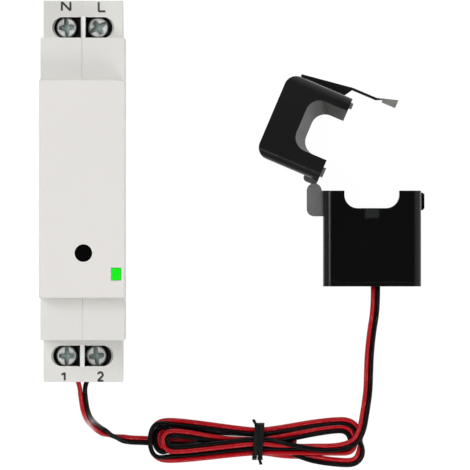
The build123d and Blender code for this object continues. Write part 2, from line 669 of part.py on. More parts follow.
# Clip that slides behind the rail's lip, and its spring
with BuildPart() as clip:
    plate_z = (CLIP_SKIN + GAP, CLIP_SKIN + GAP + CLIP_THICKNESS)
    tail_y = CLIP_FRONT_Y - CLIP_LENGTH
    slab(around(METER_X, CLIP_WIDTH), (tail_y, CLIP_FRONT_Y), plate_z)
    slab(around(METER_X, CLIP_NOSE_WIDTH), (CLIP_NOSE_BACK, CLIP_FRONT_Y), (plate_z[0], CLIP_NOSE_TOP))
    chamfer(clip.edges().filter_by(Axis.X).sort_by(Axis.Y)[-2:].sort_by(Axis.Z)[0],
            length=CLIP_THICKNESS / 2)
    slab(around(METER_X, CLIP_TAB_WIDTH), around(tail_y + 2 * CLIP_TAB_SLOT, CLIP_TAB_SLOT),
         (plate_z[0] - OVERRUN, plate_z[1] + OVERRUN), mode=Mode.SUBTRACT)
finish("rail_clip", clip)

with BuildPart() as spring:
    coil_length = SPRING_LENGTH - 2 * SPRING_WIRE
    with BuildLine() as wire_path:
        Helix(coil_length / SPRING_TURNS, coil_length, SPRING_RADIUS,
              center=(METER_X, SPRING_END_Y + SPRING_WIRE, SPRING_Z), direction=(0, 1, 0))
    with BuildSketch(Plane(wire_path.line @ 0, z_dir=wire_path.line % 0)):
        Circle(SPRING_WIRE / 2)
    sweep(path=wire_path.line, is_frenet=True)
finish("clip_spring", spring)


def rounded_bar(width, y, corner):
    """Bar along Y whose section is a rounded rectangle as thick as the transformer."""
    with BuildSketch(Plane((width[0] / 2 + width[1] / 2, y[0], CT_MIDDLE_Z), x_dir=(1, 0, 0),
                           z_dir=(0, 1, 0))) as section:
        RectangleRounded(width[1] - width[0], CT_THICKNESS, corner)
    return extrude(section.sketch, amount=y[1] - y[0], mode=Mode.PRIVATE)


# Lower case of the transformer: a box with half of the cable window
CT_FACE_Y = PARTING_Y
CASE_BOTTOM = CT_BOTTOM + BASE_PLATE
WINDOW_RIGHT = CT_RIGHT - LOWER_WINDOW_RIGHT
WINDOW_LEFT = WINDOW_RIGHT - LOWER_WINDOW
WINDOW_FLOOR = CT_FACE_Y - LOWER_WINDOW_DEPTH
CAVITY_Z = (CT_WALL, CT_THICKNESS - CT_WALL)
LEFT_POLE_X = (PIVOT_X + LEFT_POLE_START, PIVOT_X + LEFT_POLE_START + LEFT_POLE)
RIGHT_POLE_X = (PIVOT_X + RIGHT_POLE_START, PIVOT_X + RIGHT_POLE_START + RIGHT_POLE)
POLE_Z = around(CT_MIDDLE_Z, CORE_DEPTH)
NUB_TOP = CT_FACE_Y - NUB_DROP


def window_sketch(plane, left, right, floor, top, corner):
    """Window outline with two rounded corners at its closed end."""
    with BuildSketch(plane) as outline:
        with BuildLine():
            FilletPolyline((left, top), (left, floor), (right, floor), (right, top),
                           radius=(corner, corner))
            Line((right, top), (left, top))
        make_face()
    return outline.sketch


with BuildPart() as lower_case:
    add(rounded_bar((CT_LEFT, CT_RIGHT), (CASE_BOTTOM, CT_FACE_Y), CT_ROUND))
    slab((CT_LEFT + CT_WALL, CT_RIGHT - CT_WALL), (CASE_BOTTOM - OVERRUN, CT_FACE_Y - CT_WALL),
         CAVITY_Z, mode=Mode.SUBTRACT)
    extrude(window_sketch(Plane.XY.offset(CAVITY_Z[0] - FIT), WINDOW_LEFT - CT_WALL,
                          WINDOW_RIGHT + CT_WALL, WINDOW_FLOOR - CT_WALL, CT_FACE_Y,
                          WINDOW_ROUND + CT_WALL),
            amount=CAVITY_Z[1] - CAVITY_Z[0] + 2 * FIT)
    extrude(window_sketch(Plane.XY.offset(-OVERRUN), WINDOW_LEFT, WINDOW_RIGHT, WINDOW_FLOOR,
                          CT_FACE_Y + OVERRUN, WINDOW_ROUND),
            amount=CT_THICKNESS + 2 * OVERRUN, mode=Mode.SUBTRACT)
    for pole_x in (LEFT_POLE_X, RIGHT_POLE_X):
        slab((pole_x[0] - GAP, pole_x[1] + GAP),
             (WINDOW_FLOOR - CT_WALL - OVERRUN, CT_FACE_Y + OVERRUN),
             (POLE_Z[0] - GAP, POLE_Z[1] + GAP), mode=Mode.SUBTRACT)
    # Opening in the front for the retainer's head
    slab(around(WINDOW_LEFT / 2 + WINDOW_RIGHT / 2, RETAINER_WIDTH + 2 * GAP),
         (WINDOW_FLOOR - GAP - RETAINER_HEIGHT, WINDOW_FLOOR - GAP),
         (CAVITY_Z[1] - OVERRUN, CT_THICKNESS + OVERRUN), mode=Mode.SUBTRACT)
    # Nub that the strap's slot passes over
    slab((CT_RIGHT - CT_WALL / 2, CT_RIGHT + NUB_PROUD), (NUB_TOP - NUB_HEIGHT, NUB_TOP),
         around(CT_MIDDLE_Z, NUB_WIDTH))
    nub_edges = lower_case.faces().sort_by(Axis.X)[-1].edges().filter_by(Axis.Z)
    chamfer(nub_edges, length=NUB_PROUD / 2)
finish("ct_lower_case", lower_case)

# Plate that closes the lower case, with the lead's bush in it
BUSH_PLACE = Plane((LEAD_EXIT_X, CT_BOTTOM, CT_MIDDLE_Z), x_dir=(1, 0, 0), z_dir=(0, 1, 0))
with BuildPart() as base_plate:
    add(rounded_bar((CT_LEFT, CT_RIGHT), (CT_BOTTOM, CASE_BOTTOM), CT_ROUND))
    slab((CT_LEFT + CT_WALL + GAP, CT_RIGHT - CT_WALL - GAP), (CASE_BOTTOM, CASE_BOTTOM + BASE_RIM),
         (CAVITY_Z[0] + GAP, CAVITY_Z[1] - GAP))
    slab((CT_LEFT + 2 * CT_WALL, CT_RIGHT - 2 * CT_WALL), (CASE_BOTTOM, CASE_BOTTOM + BASE_RIM),
         (CAVITY_Z[0] + CT_WALL, CAVITY_Z[1] - CT_WALL), mode=Mode.SUBTRACT)
    with BuildSketch(BUSH_PLACE.offset(-OVERRUN)):
        SlotOverall(BUSH_LENGTH, BUSH_WIDTH)
    extrude(amount=BASE_PLATE + 2 * OVERRUN, mode=Mode.SUBTRACT)
finish("ct_base_plate", base_plate)

with BuildPart() as bush:
    with BuildSketch(BUSH_PLACE):
        SlotOverall(BUSH_LENGTH, BUSH_WIDTH)
    extrude(amount=BASE_PLATE + BASE_RIM)
finish("ct_lead_bush", bush)

# Lower core: a U whose bar carries the coil former
BAR_BOTTOM = CT_FACE_Y - LOWER_CORE_BAR_DROP - LOWER_CORE_BAR
LOWER_POLE_TOP = CT_FACE_Y + SHUT_GAP_Y - POLE_PROUD - FIT
BAR_Y = (BAR_BOTTOM, BAR_BOTTOM + LOWER_CORE_BAR)
with BuildPart() as lower_core:
    slab((LEFT_POLE_X[0], RIGHT_POLE_X[1]), BAR_Y, POLE_Z)
    for pole_x in (LEFT_POLE_X, RIGHT_POLE_X):
        slab(pole_x, (BAR_BOTTOM, LOWER_POLE_TOP), POLE_Z)
finish("lower_core", lower_core)

FORMER_X = (LEFT_POLE_X[1] + GAP, RIGHT_POLE_X[0] - GAP)


def sleeve(x, rise, thickness):
    """Rectangular tube along X round the lower core's bar."""
    slab(x, (BAR_Y[0] - rise, BAR_Y[1] + rise), (POLE_Z[0] - rise, POLE_Z[1] + rise))
    hollow = rise - thickness
    slab((x[0] - OVERRUN, x[1] + OVERRUN), (BAR_Y[0] - hollow, BAR_Y[1] + hollow),
         (POLE_Z[0] - hollow, POLE_Z[1] + hollow), mode=Mode.SUBTRACT)


FORMER_RISE_Z = min(FORMER_RISE, CT_MIDDLE_Z - POLE_HALF - CT_WALL - GAP)
with BuildPart() as former:
    for flange_x in ((FORMER_X[0], FORMER_X[0] + FORMER_FLANGE),
                     (FORMER_X[1] - FORMER_FLANGE, FORMER_X[1])):
        slab(flange_x, (BAR_Y[0] - FORMER_RISE, BAR_Y[1] + FORMER_RISE),
             (POLE_Z[0] - FORMER_RISE_Z, POLE_Z[1] + FORMER_RISE_Z))
    slab(FORMER_X, (BAR_Y[0] - FIT - FORMER_WALL, BAR_Y[1] + FIT + FORMER_WALL),
         (POLE_Z[0] - FIT - FORMER_WALL, POLE_Z[1] + FIT + FORMER_WALL))
    slab((FORMER_X[0] - OVERRUN, FORMER_X[1] + OVERRUN), (BAR_Y[0] - FIT, BAR_Y[1] + FIT),
         (POLE_Z[0] - FIT, POLE_Z[1] + FIT), mode=Mode.SUBTRACT)
finish("coil_former", former)

with BuildPart() as winding:
    sleeve((FORMER_X[0] + FORMER_FLANGE, FORMER_X[1] - FORMER_FLANGE),
           min(WINDING_RISE, FORMER_RISE_Z), min(WINDING_RISE, FORMER_RISE_Z) - FIT - FORMER_WALL)
finish("secondary_winding", winding)

# Small board above the base plate, where the lead is soldered
CT_BOARD_Y = CASE_BOTTOM + BASE_RIM + CT_BOARD_GAP
CT_BOARD_X = around(LEAD_EXIT_X, CT_BOARD_WIDTH)
with BuildPart() as ct_board:
    slab(CT_BOARD_X, (CT_BOARD_Y, CT_BOARD_Y + CT_BOARD), around(CT_MIDDLE_Z, CT_BOARD_DEPTH))
    for side in (-1, 1):
        foot_x = LEAD_EXIT_X + side * (CT_BOARD_WIDTH - CT_BOARD) / 2
        slab(around(foot_x, CT_BOARD), (CASE_BOTTOM, CT_BOARD_Y), around(CT_MIDDLE_Z, CT_BOARD_DEPTH))
finish("ct_solder_board", ct_board)

with BuildPart() as diode:
    spot = (LEAD_EXIT_X - DIODE_LENGTH / 2, CT_BOARD_Y + CT_BOARD + DIODE_RADIUS, CT_MIDDLE_Z)
    rod(Plane(spot, z_dir=(1, 0, 0)), DIODE_RADIUS, DIODE_LENGTH)
finish("ct_clamp_diode", diode)

# Retainer behind the window's floor, its head seen in the front face
RETAINER_X = WINDOW_LEFT / 2 + WINDOW_RIGHT / 2
RETAINER_TOP = WINDOW_FLOOR - 2 * GAP
with BuildPart() as retainer:
    slab(around(RETAINER_X, RETAINER_WIDTH), (RETAINER_TOP + 2 * GAP - RETAINER_HEIGHT, RETAINER_TOP),
         (CAVITY_Z[1] - CT_WALL / 2, CT_THICKNESS - GAP))
    slab(around(RETAINER_X, RETAINER_WIDTH),
         (RETAINER_TOP + 2 * GAP - RETAINER_HEIGHT, RETAINER_TOP + 2 * GAP - RETAINER_HEIGHT + RETAINER_LEG),
         (CAVITY_Z[0] + GAP, CT_THICKNESS - GAP))
finish("core_retainer", retainer)

# Hinge: bracket ears on the lower case and the pin through them
EAR_Z = (CT_MIDDLE_Z - KNUCKLE_WIDTH / 2 - GAP, CT_MIDDLE_Z + KNUCKLE_WIDTH / 2 + GAP)
PIN_END = EAR_Z[1] + EAR_WIDTH - PIN_COVER
with BuildPart() as bracket:
    low_y = CT_FACE_Y - EAR_HEIGHT
    for start, reach in ((EAR_Z[0] - EAR_WIDTH, EAR_WIDTH), (EAR_Z[1], EAR_WIDTH)):
        with BuildSketch(Plane.XY.offset(start)):
            with BuildLine():
                Line((PIVOT_X - EAR_RADIUS, CT_FACE_Y), (PIVOT_X - EAR_RADIUS, low_y + EAR_RADIUS))
                RadiusArc((PIVOT_X - EAR_RADIUS, low_y + EAR_RADIUS), (PIVOT_X, low_y), -EAR_RADIUS)
                Line((PIVOT_X, low_y), (CT_LEFT, low_y))
                Line((CT_LEFT, low_y), (CT_LEFT, CT_FACE_Y))
                Line((CT_LEFT, CT_FACE_Y), (PIVOT_X + EAR_RADIUS, CT_FACE_Y))
                ThreePointArc((PIVOT_X + EAR_RADIUS, CT_FACE_Y), (PIVOT_X, CT_FACE_Y + EAR_RADIUS),
                              (PIVOT_X - EAR_RADIUS, CT_FACE_Y))
            make_face()
        extrude(amount=reach)
    slab((CT_LEFT - BRACKET_WALL, CT_LEFT), (low_y, CT_FACE_Y - KNUCKLE_RADIUS),
         (EAR_Z[0] - EAR_WIDTH, EAR_Z[1] + EAR_WIDTH))
    rod(Plane((PIVOT_X, CT_FACE_Y, -OVERRUN)), PIN_RADIUS, PIN_END + OVERRUN, mode=Mode.SUBTRACT)
finish("ct_hinge_bracket", bracket)

with BuildPart() as pin:
    pin_low = EAR_Z[0] - EAR_WIDTH - PIN_HEAD
    rod(Plane((PIVOT_X, CT_FACE_Y, pin_low)), PIN_RADIUS, PIN_END - pin_low)
    rod(Plane((PIVOT_X, CT_FACE_Y, pin_low)), 2 * PIN_RADIUS, PIN_HEAD)
finish("ct_hinge_pin", pin)

# The upper half swings with this plane: its origin is the hinge pin
LID = Plane((PIVOT_X, CT_FACE_Y, 0), z_dir=(0, 0, 1)).rotated((0, 0, OPEN_ANGLE))
LID_BASE = SHUT_GAP_Y
LID_TOP = LID_BASE + UPPER_HEIGHT


def lid_slab(x, y, z, mode=Mode.ADD):
    """Box between two values of each coordinate of the upper half."""
    middle = tuple((low + high) / 2 for low, high in (x, y, z))
    with Locations(LID.location * Location(middle)):
        Box(*(abs(high - low) for low, high in (x, y, z)), mode=mode)


def lid_window(z, inset):
    """Outline of the upper half's window at a height, its far arm and back drawn in."""
    return window_sketch(LID.offset(z), UPPER_WINDOW_START, UPPER_WINDOW_END - inset,
                         LID_BASE + UPPER_WINDOW_HEIGHT - inset, LID_BASE - OVERRUN,
                         UPPER_WINDOW_ROUND)


with BuildPart() as upper_case:
    with BuildSketch(LID):
        with BuildLine():
            FilletPolyline((UPPER_START, LID_BASE), (UPPER_START, LID_TOP), (UPPER_END, LID_TOP),
                           (UPPER_END, LID_BASE), radius=(UPPER_ROUND, UPPER_ROUND))
            Line((UPPER_END, LID_BASE), (UPPER_START, LID_BASE))
        make_face()
    extrude(amount=CT_THICKNESS)
    lid_section = Plane(LID.from_local_coords(Vector((UPPER_START + UPPER_END) / 2, -OVERRUN,
                                                     CT_MIDDLE_Z)),
                        x_dir=LID.x_dir, z_dir=LID.y_dir)
    with BuildSketch(lid_section):
        RectangleRounded(UPPER_WIDTH, CT_THICKNESS, CT_ROUND)
    extrude(amount=LID_TOP + 2 * OVERRUN, mode=Mode.INTERSECT)
    extrude(lid_window(-OVERRUN, UPPER_FLARE), amount=CT_THICKNESS + 2 * OVERRUN,
            mode=Mode.SUBTRACT)
    # The window flares towards the front and towards the back
    for face_z, throat_z in ((0, UPPER_FLARE_DEPTH), (CT_THICKNESS, CT_THICKNESS - UPPER_FLARE_DEPTH)):
        loft([lid_window(face_z, 0), lid_window(throat_z, UPPER_FLARE)], ruled=True,
             mode=Mode.SUBTRACT)
    # Room for the core: two arms and a back
    core_top = LID_TOP - CORE_SEAT
    for pole in ((LEFT_POLE_START, LEFT_POLE), (RIGHT_POLE_START, RIGHT_POLE)):
        lid_slab((pole[0] - FIT, pole[0] + pole[1] + FIT), (LID_BASE - OVERRUN, core_top),
                 (POLE_Z[0] - FIT, POLE_Z[1] + FIT), mode=Mode.SUBTRACT)
    lid_slab((LEFT_POLE_START - FIT, RIGHT_POLE_START + RIGHT_POLE + FIT),
             (LID_BASE + UPPER_WINDOW_HEIGHT + CT_WALL, core_top), (POLE_Z[0] - FIT, POLE_Z[1] + FIT),
             mode=Mode.SUBTRACT)
    # Seat for the strap's root in the right-hand side
    root_plane = LID.offset(CT_MIDDLE_Z - STRAP_WIDTH / 2 - GAP)
    with BuildSketch(root_plane):
        with Locations((UPPER_END, STRAP_ROOT_HEIGHT)):
            Circle(STRAP_ROOT_RADIUS + FIT)
    extrude(amount=STRAP_WIDTH + 2 * GAP, mode=Mode.SUBTRACT)
    # Leaf and knuckle between the bracket's ears
    with BuildSketch(LID.offset(EAR_Z[0] + GAP)):
        Circle(KNUCKLE_RADIUS)
        with BuildLine():
            leaf_end = UPPER_START + CT_WALL / 2
            FilletPolyline((LEAF_START, LID_BASE), (LEAF_START, LID_BASE + LEAF_HEIGHT),
                           (leaf_end, LID_BASE + LEAF_HEIGHT), radius=LEAF_ROUND)
            Line((leaf_end, LID_BASE + LEAF_HEIGHT), (leaf_end, LID_BASE))
            Line((leaf_end, LID_BASE), (LEAF_START, LID_BASE))
        make_face()
    extrude(amount=KNUCKLE_WIDTH)
    with BuildSketch(LID.offset(-OVERRUN)):
        Circle(PIN_RADIUS + PIN_CLEARANCE)
    extrude(amount=CT_THICKNESS + 2 * OVERRUN, mode=Mode.SUBTRACT)
    whole_upper = upper_case.part
    split(bisect_by=Plane.XY.offset(POLE_Z[0] - FIT), keep=Keep.TOP)
finish("ct_upper_case", upper_case)

# Cover that closes the upper case from behind
with BuildPart() as upper_cover:
    add(whole_upper)
    split(bisect_by=Plane.XY.offset(POLE_Z[0] - FIT), keep=Keep.BOTTOM)
finish("ct_upper_cover", upper_cover)

# Upper core, pressed towards the lower one by a bowed leaf spring
UPPER_BAR = (LID_BASE + UPPER_WINDOW_HEIGHT + CT_WALL + FIT,
             LID_BASE + UPPER_WINDOW_HEIGHT + CT_WALL + FIT + UPPER_CORE_BACK)
with BuildPart() as upper_core:
    lid_slab((LEFT_POLE_START, RIGHT_POLE_START + RIGHT_POLE), UPPER_BAR, POLE_Z)
    for pole_start, pole_width in ((LEFT_POLE_START, LEFT_POLE), (RIGHT_POLE_START, RIGHT_POLE)):
        lid_slab((pole_start, pole_start + pole_width), (LID_BASE - POLE_PROUD, UPPER_BAR[1]),
                 POLE_Z)
finish("upper_core", upper_core)

with BuildPart() as leaf:
    leaf_start = LEFT_POLE_START + LEAF_INSET
    leaf_end = RIGHT_POLE_START + RIGHT_POLE - LEAF_INSET
    leaf_low = UPPER_BAR[1]
    leaf_high = LID_TOP - CORE_SEAT - FIT
    leaf_middle = (leaf_start + leaf_end) / 2
    with BuildSketch(LID.offset(CT_MIDDLE_Z - LEAF_DEPTH / 2)):
        with BuildLine():
            ThreePointArc((leaf_start, leaf_low), (leaf_middle, leaf_high - LEAF_METAL),
                          (leaf_end, leaf_low))
            Line((leaf_end, leaf_low), (leaf_end, leaf_low + LEAF_METAL))
            ThreePointArc((leaf_end, leaf_low + LEAF_METAL), (leaf_middle, leaf_high),
                          (leaf_start, leaf_low + LEAF_METAL))
            Line((leaf_start, leaf_low + LEAF_METAL), (leaf_start, leaf_low))
        make_face()
    extrude(amount=LEAF_DEPTH)
finish("core_leaf_spring", leaf)

# Latch strap: a springy plate on a root bead, with a slot for the nub
STRAP_UPPER_X = UPPER_END + GAP
STRAP_LOWER_X = CT_RIGHT - PIVOT_X + GAP
STRAP_SLOT_LOW = -NUB_DROP - NUB_HEIGHT - STRAP_NECK
STRAP_BACK_X = STRAP_LOWER_X + STRAP_THICKNESS
STRAP_GRIP_X = STRAP_LOWER_X + STRAP_KICK
STRAP_RAMP_Y = (STRAP_SLOT_LOW + STRAP_RAMP, STRAP_SLOT_LOW - STRAP_LIP)
STRAP_INSIDE = [
    (STRAP_UPPER_X, STRAP_ROOT_HEIGHT + STRAP_HEEL),
    (STRAP_UPPER_X, STRAP_BEND_HIGH),
    (STRAP_LOWER_X, STRAP_BEND_LOW),
    (STRAP_LOWER_X, STRAP_RAMP_Y[0]),
    (STRAP_GRIP_X, STRAP_RAMP_Y[1]),
    (STRAP_GRIP_X, -STRAP_DROP),
]
STRAP_OUTSIDE = [
    (STRAP_UPPER_X + STRAP_THICKNESS, STRAP_ROOT_HEIGHT + STRAP_HEEL),
    (STRAP_BACK_X, STRAP_BEND_LOW),
    (STRAP_BACK_X, STRAP_RAMP_Y[0]),
    (STRAP_GRIP_X + STRAP_GRIP, -STRAP_DROP),
]
with BuildPart() as strap:
    with BuildSketch(LID.offset(CT_MIDDLE_Z - STRAP_WIDTH / 2)):
        with BuildLine():
            Polyline(*STRAP_INSIDE, *reversed(STRAP_OUTSIDE), close=True)
        make_face()
        with Locations((UPPER_END, STRAP_ROOT_HEIGHT)):
            Circle(STRAP_ROOT_RADIUS)
    extrude(amount=STRAP_WIDTH)
    lid_slab((UPPER_END, STRAP_BACK_X + OVERRUN), (STRAP_SLOT_LOW, STRAP_SLOT_HIGH),
             around(CT_MIDDLE_Z, STRAP_SLOT), mode=Mode.SUBTRACT)
finish("ct_latch_strap", strap)


def smooth_radii(points):
    """Largest arc at each inner point that its two runs allow."""
    corners = [Vector(*point) for point in points]
    radii = []
    for before, here, after in zip(corners, corners[1:], corners[2:]):
        turn = radians((here - before).get_angle(after - here))
        shorter = min((here - before).length, (after - here).length)
        radii.append(RUN_SHARE * shorter / tan(turn / 2))
    return radii


def check_tube(name, built, path, area, radii, width):
    """Print a tube's length, volume share and its arcs in widths."""
    length = path.wire().length
    print(name, "length", round(length, 1), "volume share",
          round(built.part.volume / (area * length), 4),
          "arcs in widths", [round(radius / width, 1) for radius in radii])


def round_tube(points, diameter, name):
    """Round tube of straight runs joined by tangent arcs."""
    radii = smooth_radii(points)
    with BuildPart() as tube:
        with BuildLine() as path:
            FilletPolyline(*points, radius=radii)
        with BuildSketch(Plane(path.line @ 0, z_dir=path.line % 0)):
            Circle(diameter / 2)
        sweep(path=path.line)
    check_tube(name, tube, path, pi * diameter ** 2 / 4, radii, diameter)
    return tube


# Points of the lead from the monitor down to the table, and up into the transformer
METER_RUN = [
    (-31.48, -42.2, 31.4), (-31.2, -45.05, 30.0), (-30.6, -47.05, 27.3), (-30.1, -48.0, 22.95),
    (-29.8, -48.45, 15.0), (-29.3, -49.1, 7.5), (-28.0, -50.3, 3.9), (-25.4, -51.6, 1.75),
    (-22.0, -52.6045, 1.0), (-19.0, -52.55, 1.0),
]
CT_RUN = [
    (27.9, -46.0, 3.65), (28.1545, -44.4, 3.65), (28.5, -41.7, 2.1), (28.6, -38.4, 1.05),
    (28.75, -34.2, 1.7), (29.2, -29.6, 5.3), (LEAD_EXIT_X, -24.6, CT_MIDDLE_Z),
    (LEAD_EXIT_X, CT_BOTTOM, CT_MIDDLE_Z),
]
finish("lead_meter_run", round_tube(METER_RUN, TWIN, "meter run"))
finish("lead_ct_run", round_tube(CT_RUN, TWIN, "transformer run"))

# The two wires part at the monitor and go into the lower terminals
CORE_Z_LEVEL = BAR_LEVEL - SHUT_GAP / 2
start = Vector(*METER_RUN[0])
heading = (Vector(*METER_RUN[1]) - start).normalized()
sideways = heading.cross(Vector(0, 0, 1)).normalized()
tails = {
    "1": ([(-33.1, -38.9, 32.55), (-32.45, -39.8, 32.4)], 1),
    "2": ([(-30.1, -38.9, 32.55), (-30.65, -39.8, 32.4)], -1),
}
with BuildPart() as lead_tails:
    for name, (bends, side) in tails.items():
        x, y, _, _ = TERMINALS[name]
        core_x = x + side * TAIL_SHIFT
        bare_y = y - CAGE_LENGTH / 2 - 4 * GAP
        last = start + sideways * (side * WIRE / 2)
        points = [(core_x, bare_y, CORE_Z_LEVEL), (core_x, bare_y - TAIL_START, CORE_Z_LEVEL),
                  *bends, tuple(last - heading * TAIL_RUN), tuple(last)]
        add(round_tube(points, WIRE, f"tail {name}").part)
finish("lead_tails", lead_tails)

with BuildPart() as wire_cores:
    for name, (bends, side) in tails.items():
        x, y, _, _ = TERMINALS[name]
        bare_y = y - CAGE_LENGTH / 2 - 4 * GAP
        rod(Plane((x + side * TAIL_SHIFT, bare_y, CORE_Z_LEVEL), z_dir=(0, 1, 0)),
            CORE_DIAMETER / 2, CAGE_LENGTH)
finish("wire_cores", wire_cores)

# Hank: each pass through the waist has its row and layer, and ends in a fold
PITCH = WIRE + LAYER_GAP
LEVELS = [FLOOR_GAP + WIRE / 2 + layer * PITCH for layer in range(4)]
ROWS = {"top": -50.28, "middle": -52.73, "low": -55.18}
WAIST_ENDS = (3.5, 7.2)
# Row and layer at the waist, then the fold: its end, its two legs, their layers, radius, reach
PASSES = [
    ("middle", 0, 22.0, -54.25, -50.45, 0, 0, 1.85, 2.2),
    ("top", 0, -15.0, -50.2, -54.4, 1, 1, 2.05, 2.2),
    ("low", 0, 27.06, -57.15, -48.2, 0, 1, 4.4, 2.2),
    ("top", 1, -17.06, -48.45, -56.1, 2, 2, 3.75, 2.2),
    ("low", 1, 24.6, -55.75, -50.75, 1, 1, 2.4, 2.2),
    ("middle", 1, -13.2, -50.9, -54.95, 3, 3, 2.0, 2.2),
]
HANK_IN = [(-19.0, -52.55, LEVELS[0], 0), (-8.0, -52.35, LEVELS[0], 12.0)]
HANK_CLIMB = (-2.5, -52.0, LEVELS[1] + PITCH / 2, 10.0)
HANK_OUT = [
    (13.0, -53.6, LEVELS[2], 10.0), (20.5, -54.3, LEVELS[2], 8.0), (25.6, -53.2, LEVELS[2], 2.6),
    (27.2, -50.4, LEVELS[2], 3.0), (27.9, -46.0, LEVELS[2], 0),
]
WAIST_ARC = 6.0
LEG_ARC = 8.0
route = list(HANK_IN)
for number, (row, layer, end_x, first_y, last_y, first, last, radius, reach) in enumerate(PASSES):
    side = 1 if number % 2 == 0 else -1
    route += [(x, ROWS[row], LEVELS[layer], WAIST_ARC) for x in WAIST_ENDS[::side]]
    if number == len(PASSES) - 1:
        route.append(HANK_CLIMB)
    shoulder = end_x - side * (radius + reach)
    route += [
        (shoulder, first_y, LEVELS[first], LEG_ARC), (end_x, first_y, LEVELS[first], radius),
        (end_x, last_y, LEVELS[last], radius), (shoulder, last_y, LEVELS[last], LEG_ARC),
    ]
route += [(x, ROWS["middle"], LEVELS[2], WAIST_ARC) for x in WAIST_ENDS] + HANK_OUT


def hank_radii(stops):
    """Wished arc of each stop, as far as its two runs leave room."""
    corners = [Vector(*stop[:3]) for stop in stops]
    radii = []
    for number in range(1, len(stops) - 1):
        before = corners[number] - corners[number - 1]
        after = corners[number + 1] - corners[number]
        room = RUN_SHARE * min(before.length, after.length)
        radii.append(min(stops[number][3], room / tan(radians(before.get_angle(after)) / 2)))
    return radii


with BuildPart() as hank:
    with BuildLine() as hank_line:
        FilletPolyline(*[stop[:3] for stop in route], radius=hank_radii(route))
    hank_start = hank_line.line % 0
    with BuildSketch(Plane(hank_line.line @ 0, x_dir=hank_start.cross(Vector(0, 0, 1)),
                           z_dir=hank_start)):
        SlotOverall(TWIN, WIRE)
    sweep(path=hank_line.line)
finish("lead_hank", hank)
twin_area = (TWIN - WIRE) * WIRE + pi * WIRE ** 2 / 4
check_tube("hank", hank, hank_line, twin_area, hank_radii(route), WIRE)


def least_gap(line, flat_width, thickness):
    """Least gap of a flat tube to its own other turns, measured on points."""
    steps = ceil(line.length / GAP_STEP)
    spots = []
    for step in range(steps + 1):
        share = step / steps
        middle, forward = line @ share, line % share
        across = forward.cross(Vector(0, 0, 1)).normalized()
        flat = (flat_width - thickness) / 2
        spots.append([tuple(middle + across * (flat * offset)) for offset in ACROSS_SHARES])
    nearest = line.length
    skip = ceil(GAP_SKIP / (line.length / steps))
    for first in range(len(spots)):
        for second in range(first + skip, len(spots)):
            centre = spots[first][2], spots[second][2]
            apart = sum((a - b) ** 2 for a, b in zip(*centre))
            if apart > (flat_width + nearest + thickness) ** 2:
                continue
            for one in spots[first]:
                for other in spots[second]:
                    apart = sum((a - b) ** 2 for a, b in zip(one, other)) ** 0.5
                    nearest = min(nearest, apart - thickness)
    return nearest


print("least gap of the hank to itself", round(least_gap(hank_line.wire(), TWIN, WIRE), 3))

# Twist tie round the waist of the hank
TIE_X = around((WAIST_ENDS[0] + WAIST_ENDS[1]) / 2, TIE_LENGTH)
TIE_SIDES = (ROWS["low"] - TWIN / 2 - TIE_GAP, ROWS["top"] + TWIN / 2 + TIE_GAP)
TIE_CROWN = (ROWS["middle"] - TWIN / 2 - TIE_GAP, ROWS["middle"] + TWIN / 2 + TIE_GAP)
TIE_SHOULDER = LEVELS[1] + WIRE / 2 + TIE_GAP
TIE_TOP = LEVELS[2] + WIRE / 2 + TIE_GAP
with BuildPart() as tie:
    with BuildSketch(Plane.YZ.offset(TIE_X[0])):
        with BuildLine():
            Polyline((TIE_SIDES[0], TIE_BAND), (TIE_SIDES[0], TIE_SHOULDER), (TIE_CROWN[0], TIE_TOP),
                     (TIE_CROWN[1], TIE_TOP), (TIE_SIDES[1], TIE_SHOULDER), (TIE_SIDES[1], TIE_BAND),
                     close=True)
        make_face()
        offset(amount=TIE_BAND, kind=Kind.ARC, mode=Mode.REPLACE)
        with BuildLine():
            Polyline((TIE_SIDES[0], TIE_BAND), (TIE_SIDES[0], TIE_SHOULDER), (TIE_CROWN[0], TIE_TOP),
                     (TIE_CROWN[1], TIE_TOP), (TIE_SIDES[1], TIE_SHOULDER), (TIE_SIDES[1], TIE_BAND),
                     close=True)
        make_face(mode=Mode.SUBTRACT)
    extrude(amount=TIE_LENGTH)
finish("hank_tie", tie)
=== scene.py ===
import json
from math import cos, pi, radians, sin

import bmesh
import bpy
from mathutils import Matrix, Vector


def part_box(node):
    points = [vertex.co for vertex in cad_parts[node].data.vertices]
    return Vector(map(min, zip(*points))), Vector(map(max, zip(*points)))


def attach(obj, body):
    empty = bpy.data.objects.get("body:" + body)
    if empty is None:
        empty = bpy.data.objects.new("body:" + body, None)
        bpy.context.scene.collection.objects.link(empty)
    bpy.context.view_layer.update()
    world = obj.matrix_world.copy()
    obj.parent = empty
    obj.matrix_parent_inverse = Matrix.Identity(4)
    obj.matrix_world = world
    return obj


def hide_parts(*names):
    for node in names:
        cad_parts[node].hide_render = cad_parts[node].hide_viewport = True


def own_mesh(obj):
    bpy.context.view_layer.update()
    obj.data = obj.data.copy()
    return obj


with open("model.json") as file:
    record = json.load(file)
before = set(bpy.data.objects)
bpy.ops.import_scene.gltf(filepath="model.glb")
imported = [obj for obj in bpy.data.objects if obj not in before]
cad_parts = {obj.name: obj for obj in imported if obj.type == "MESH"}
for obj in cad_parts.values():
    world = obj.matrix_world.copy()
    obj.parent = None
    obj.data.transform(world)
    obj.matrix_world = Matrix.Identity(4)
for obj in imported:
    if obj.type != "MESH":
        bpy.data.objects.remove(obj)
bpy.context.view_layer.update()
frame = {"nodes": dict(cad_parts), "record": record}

MM = 0.001


def mm(*values):
    """A place or a size given in millimetres."""
    return Vector(values) * MM


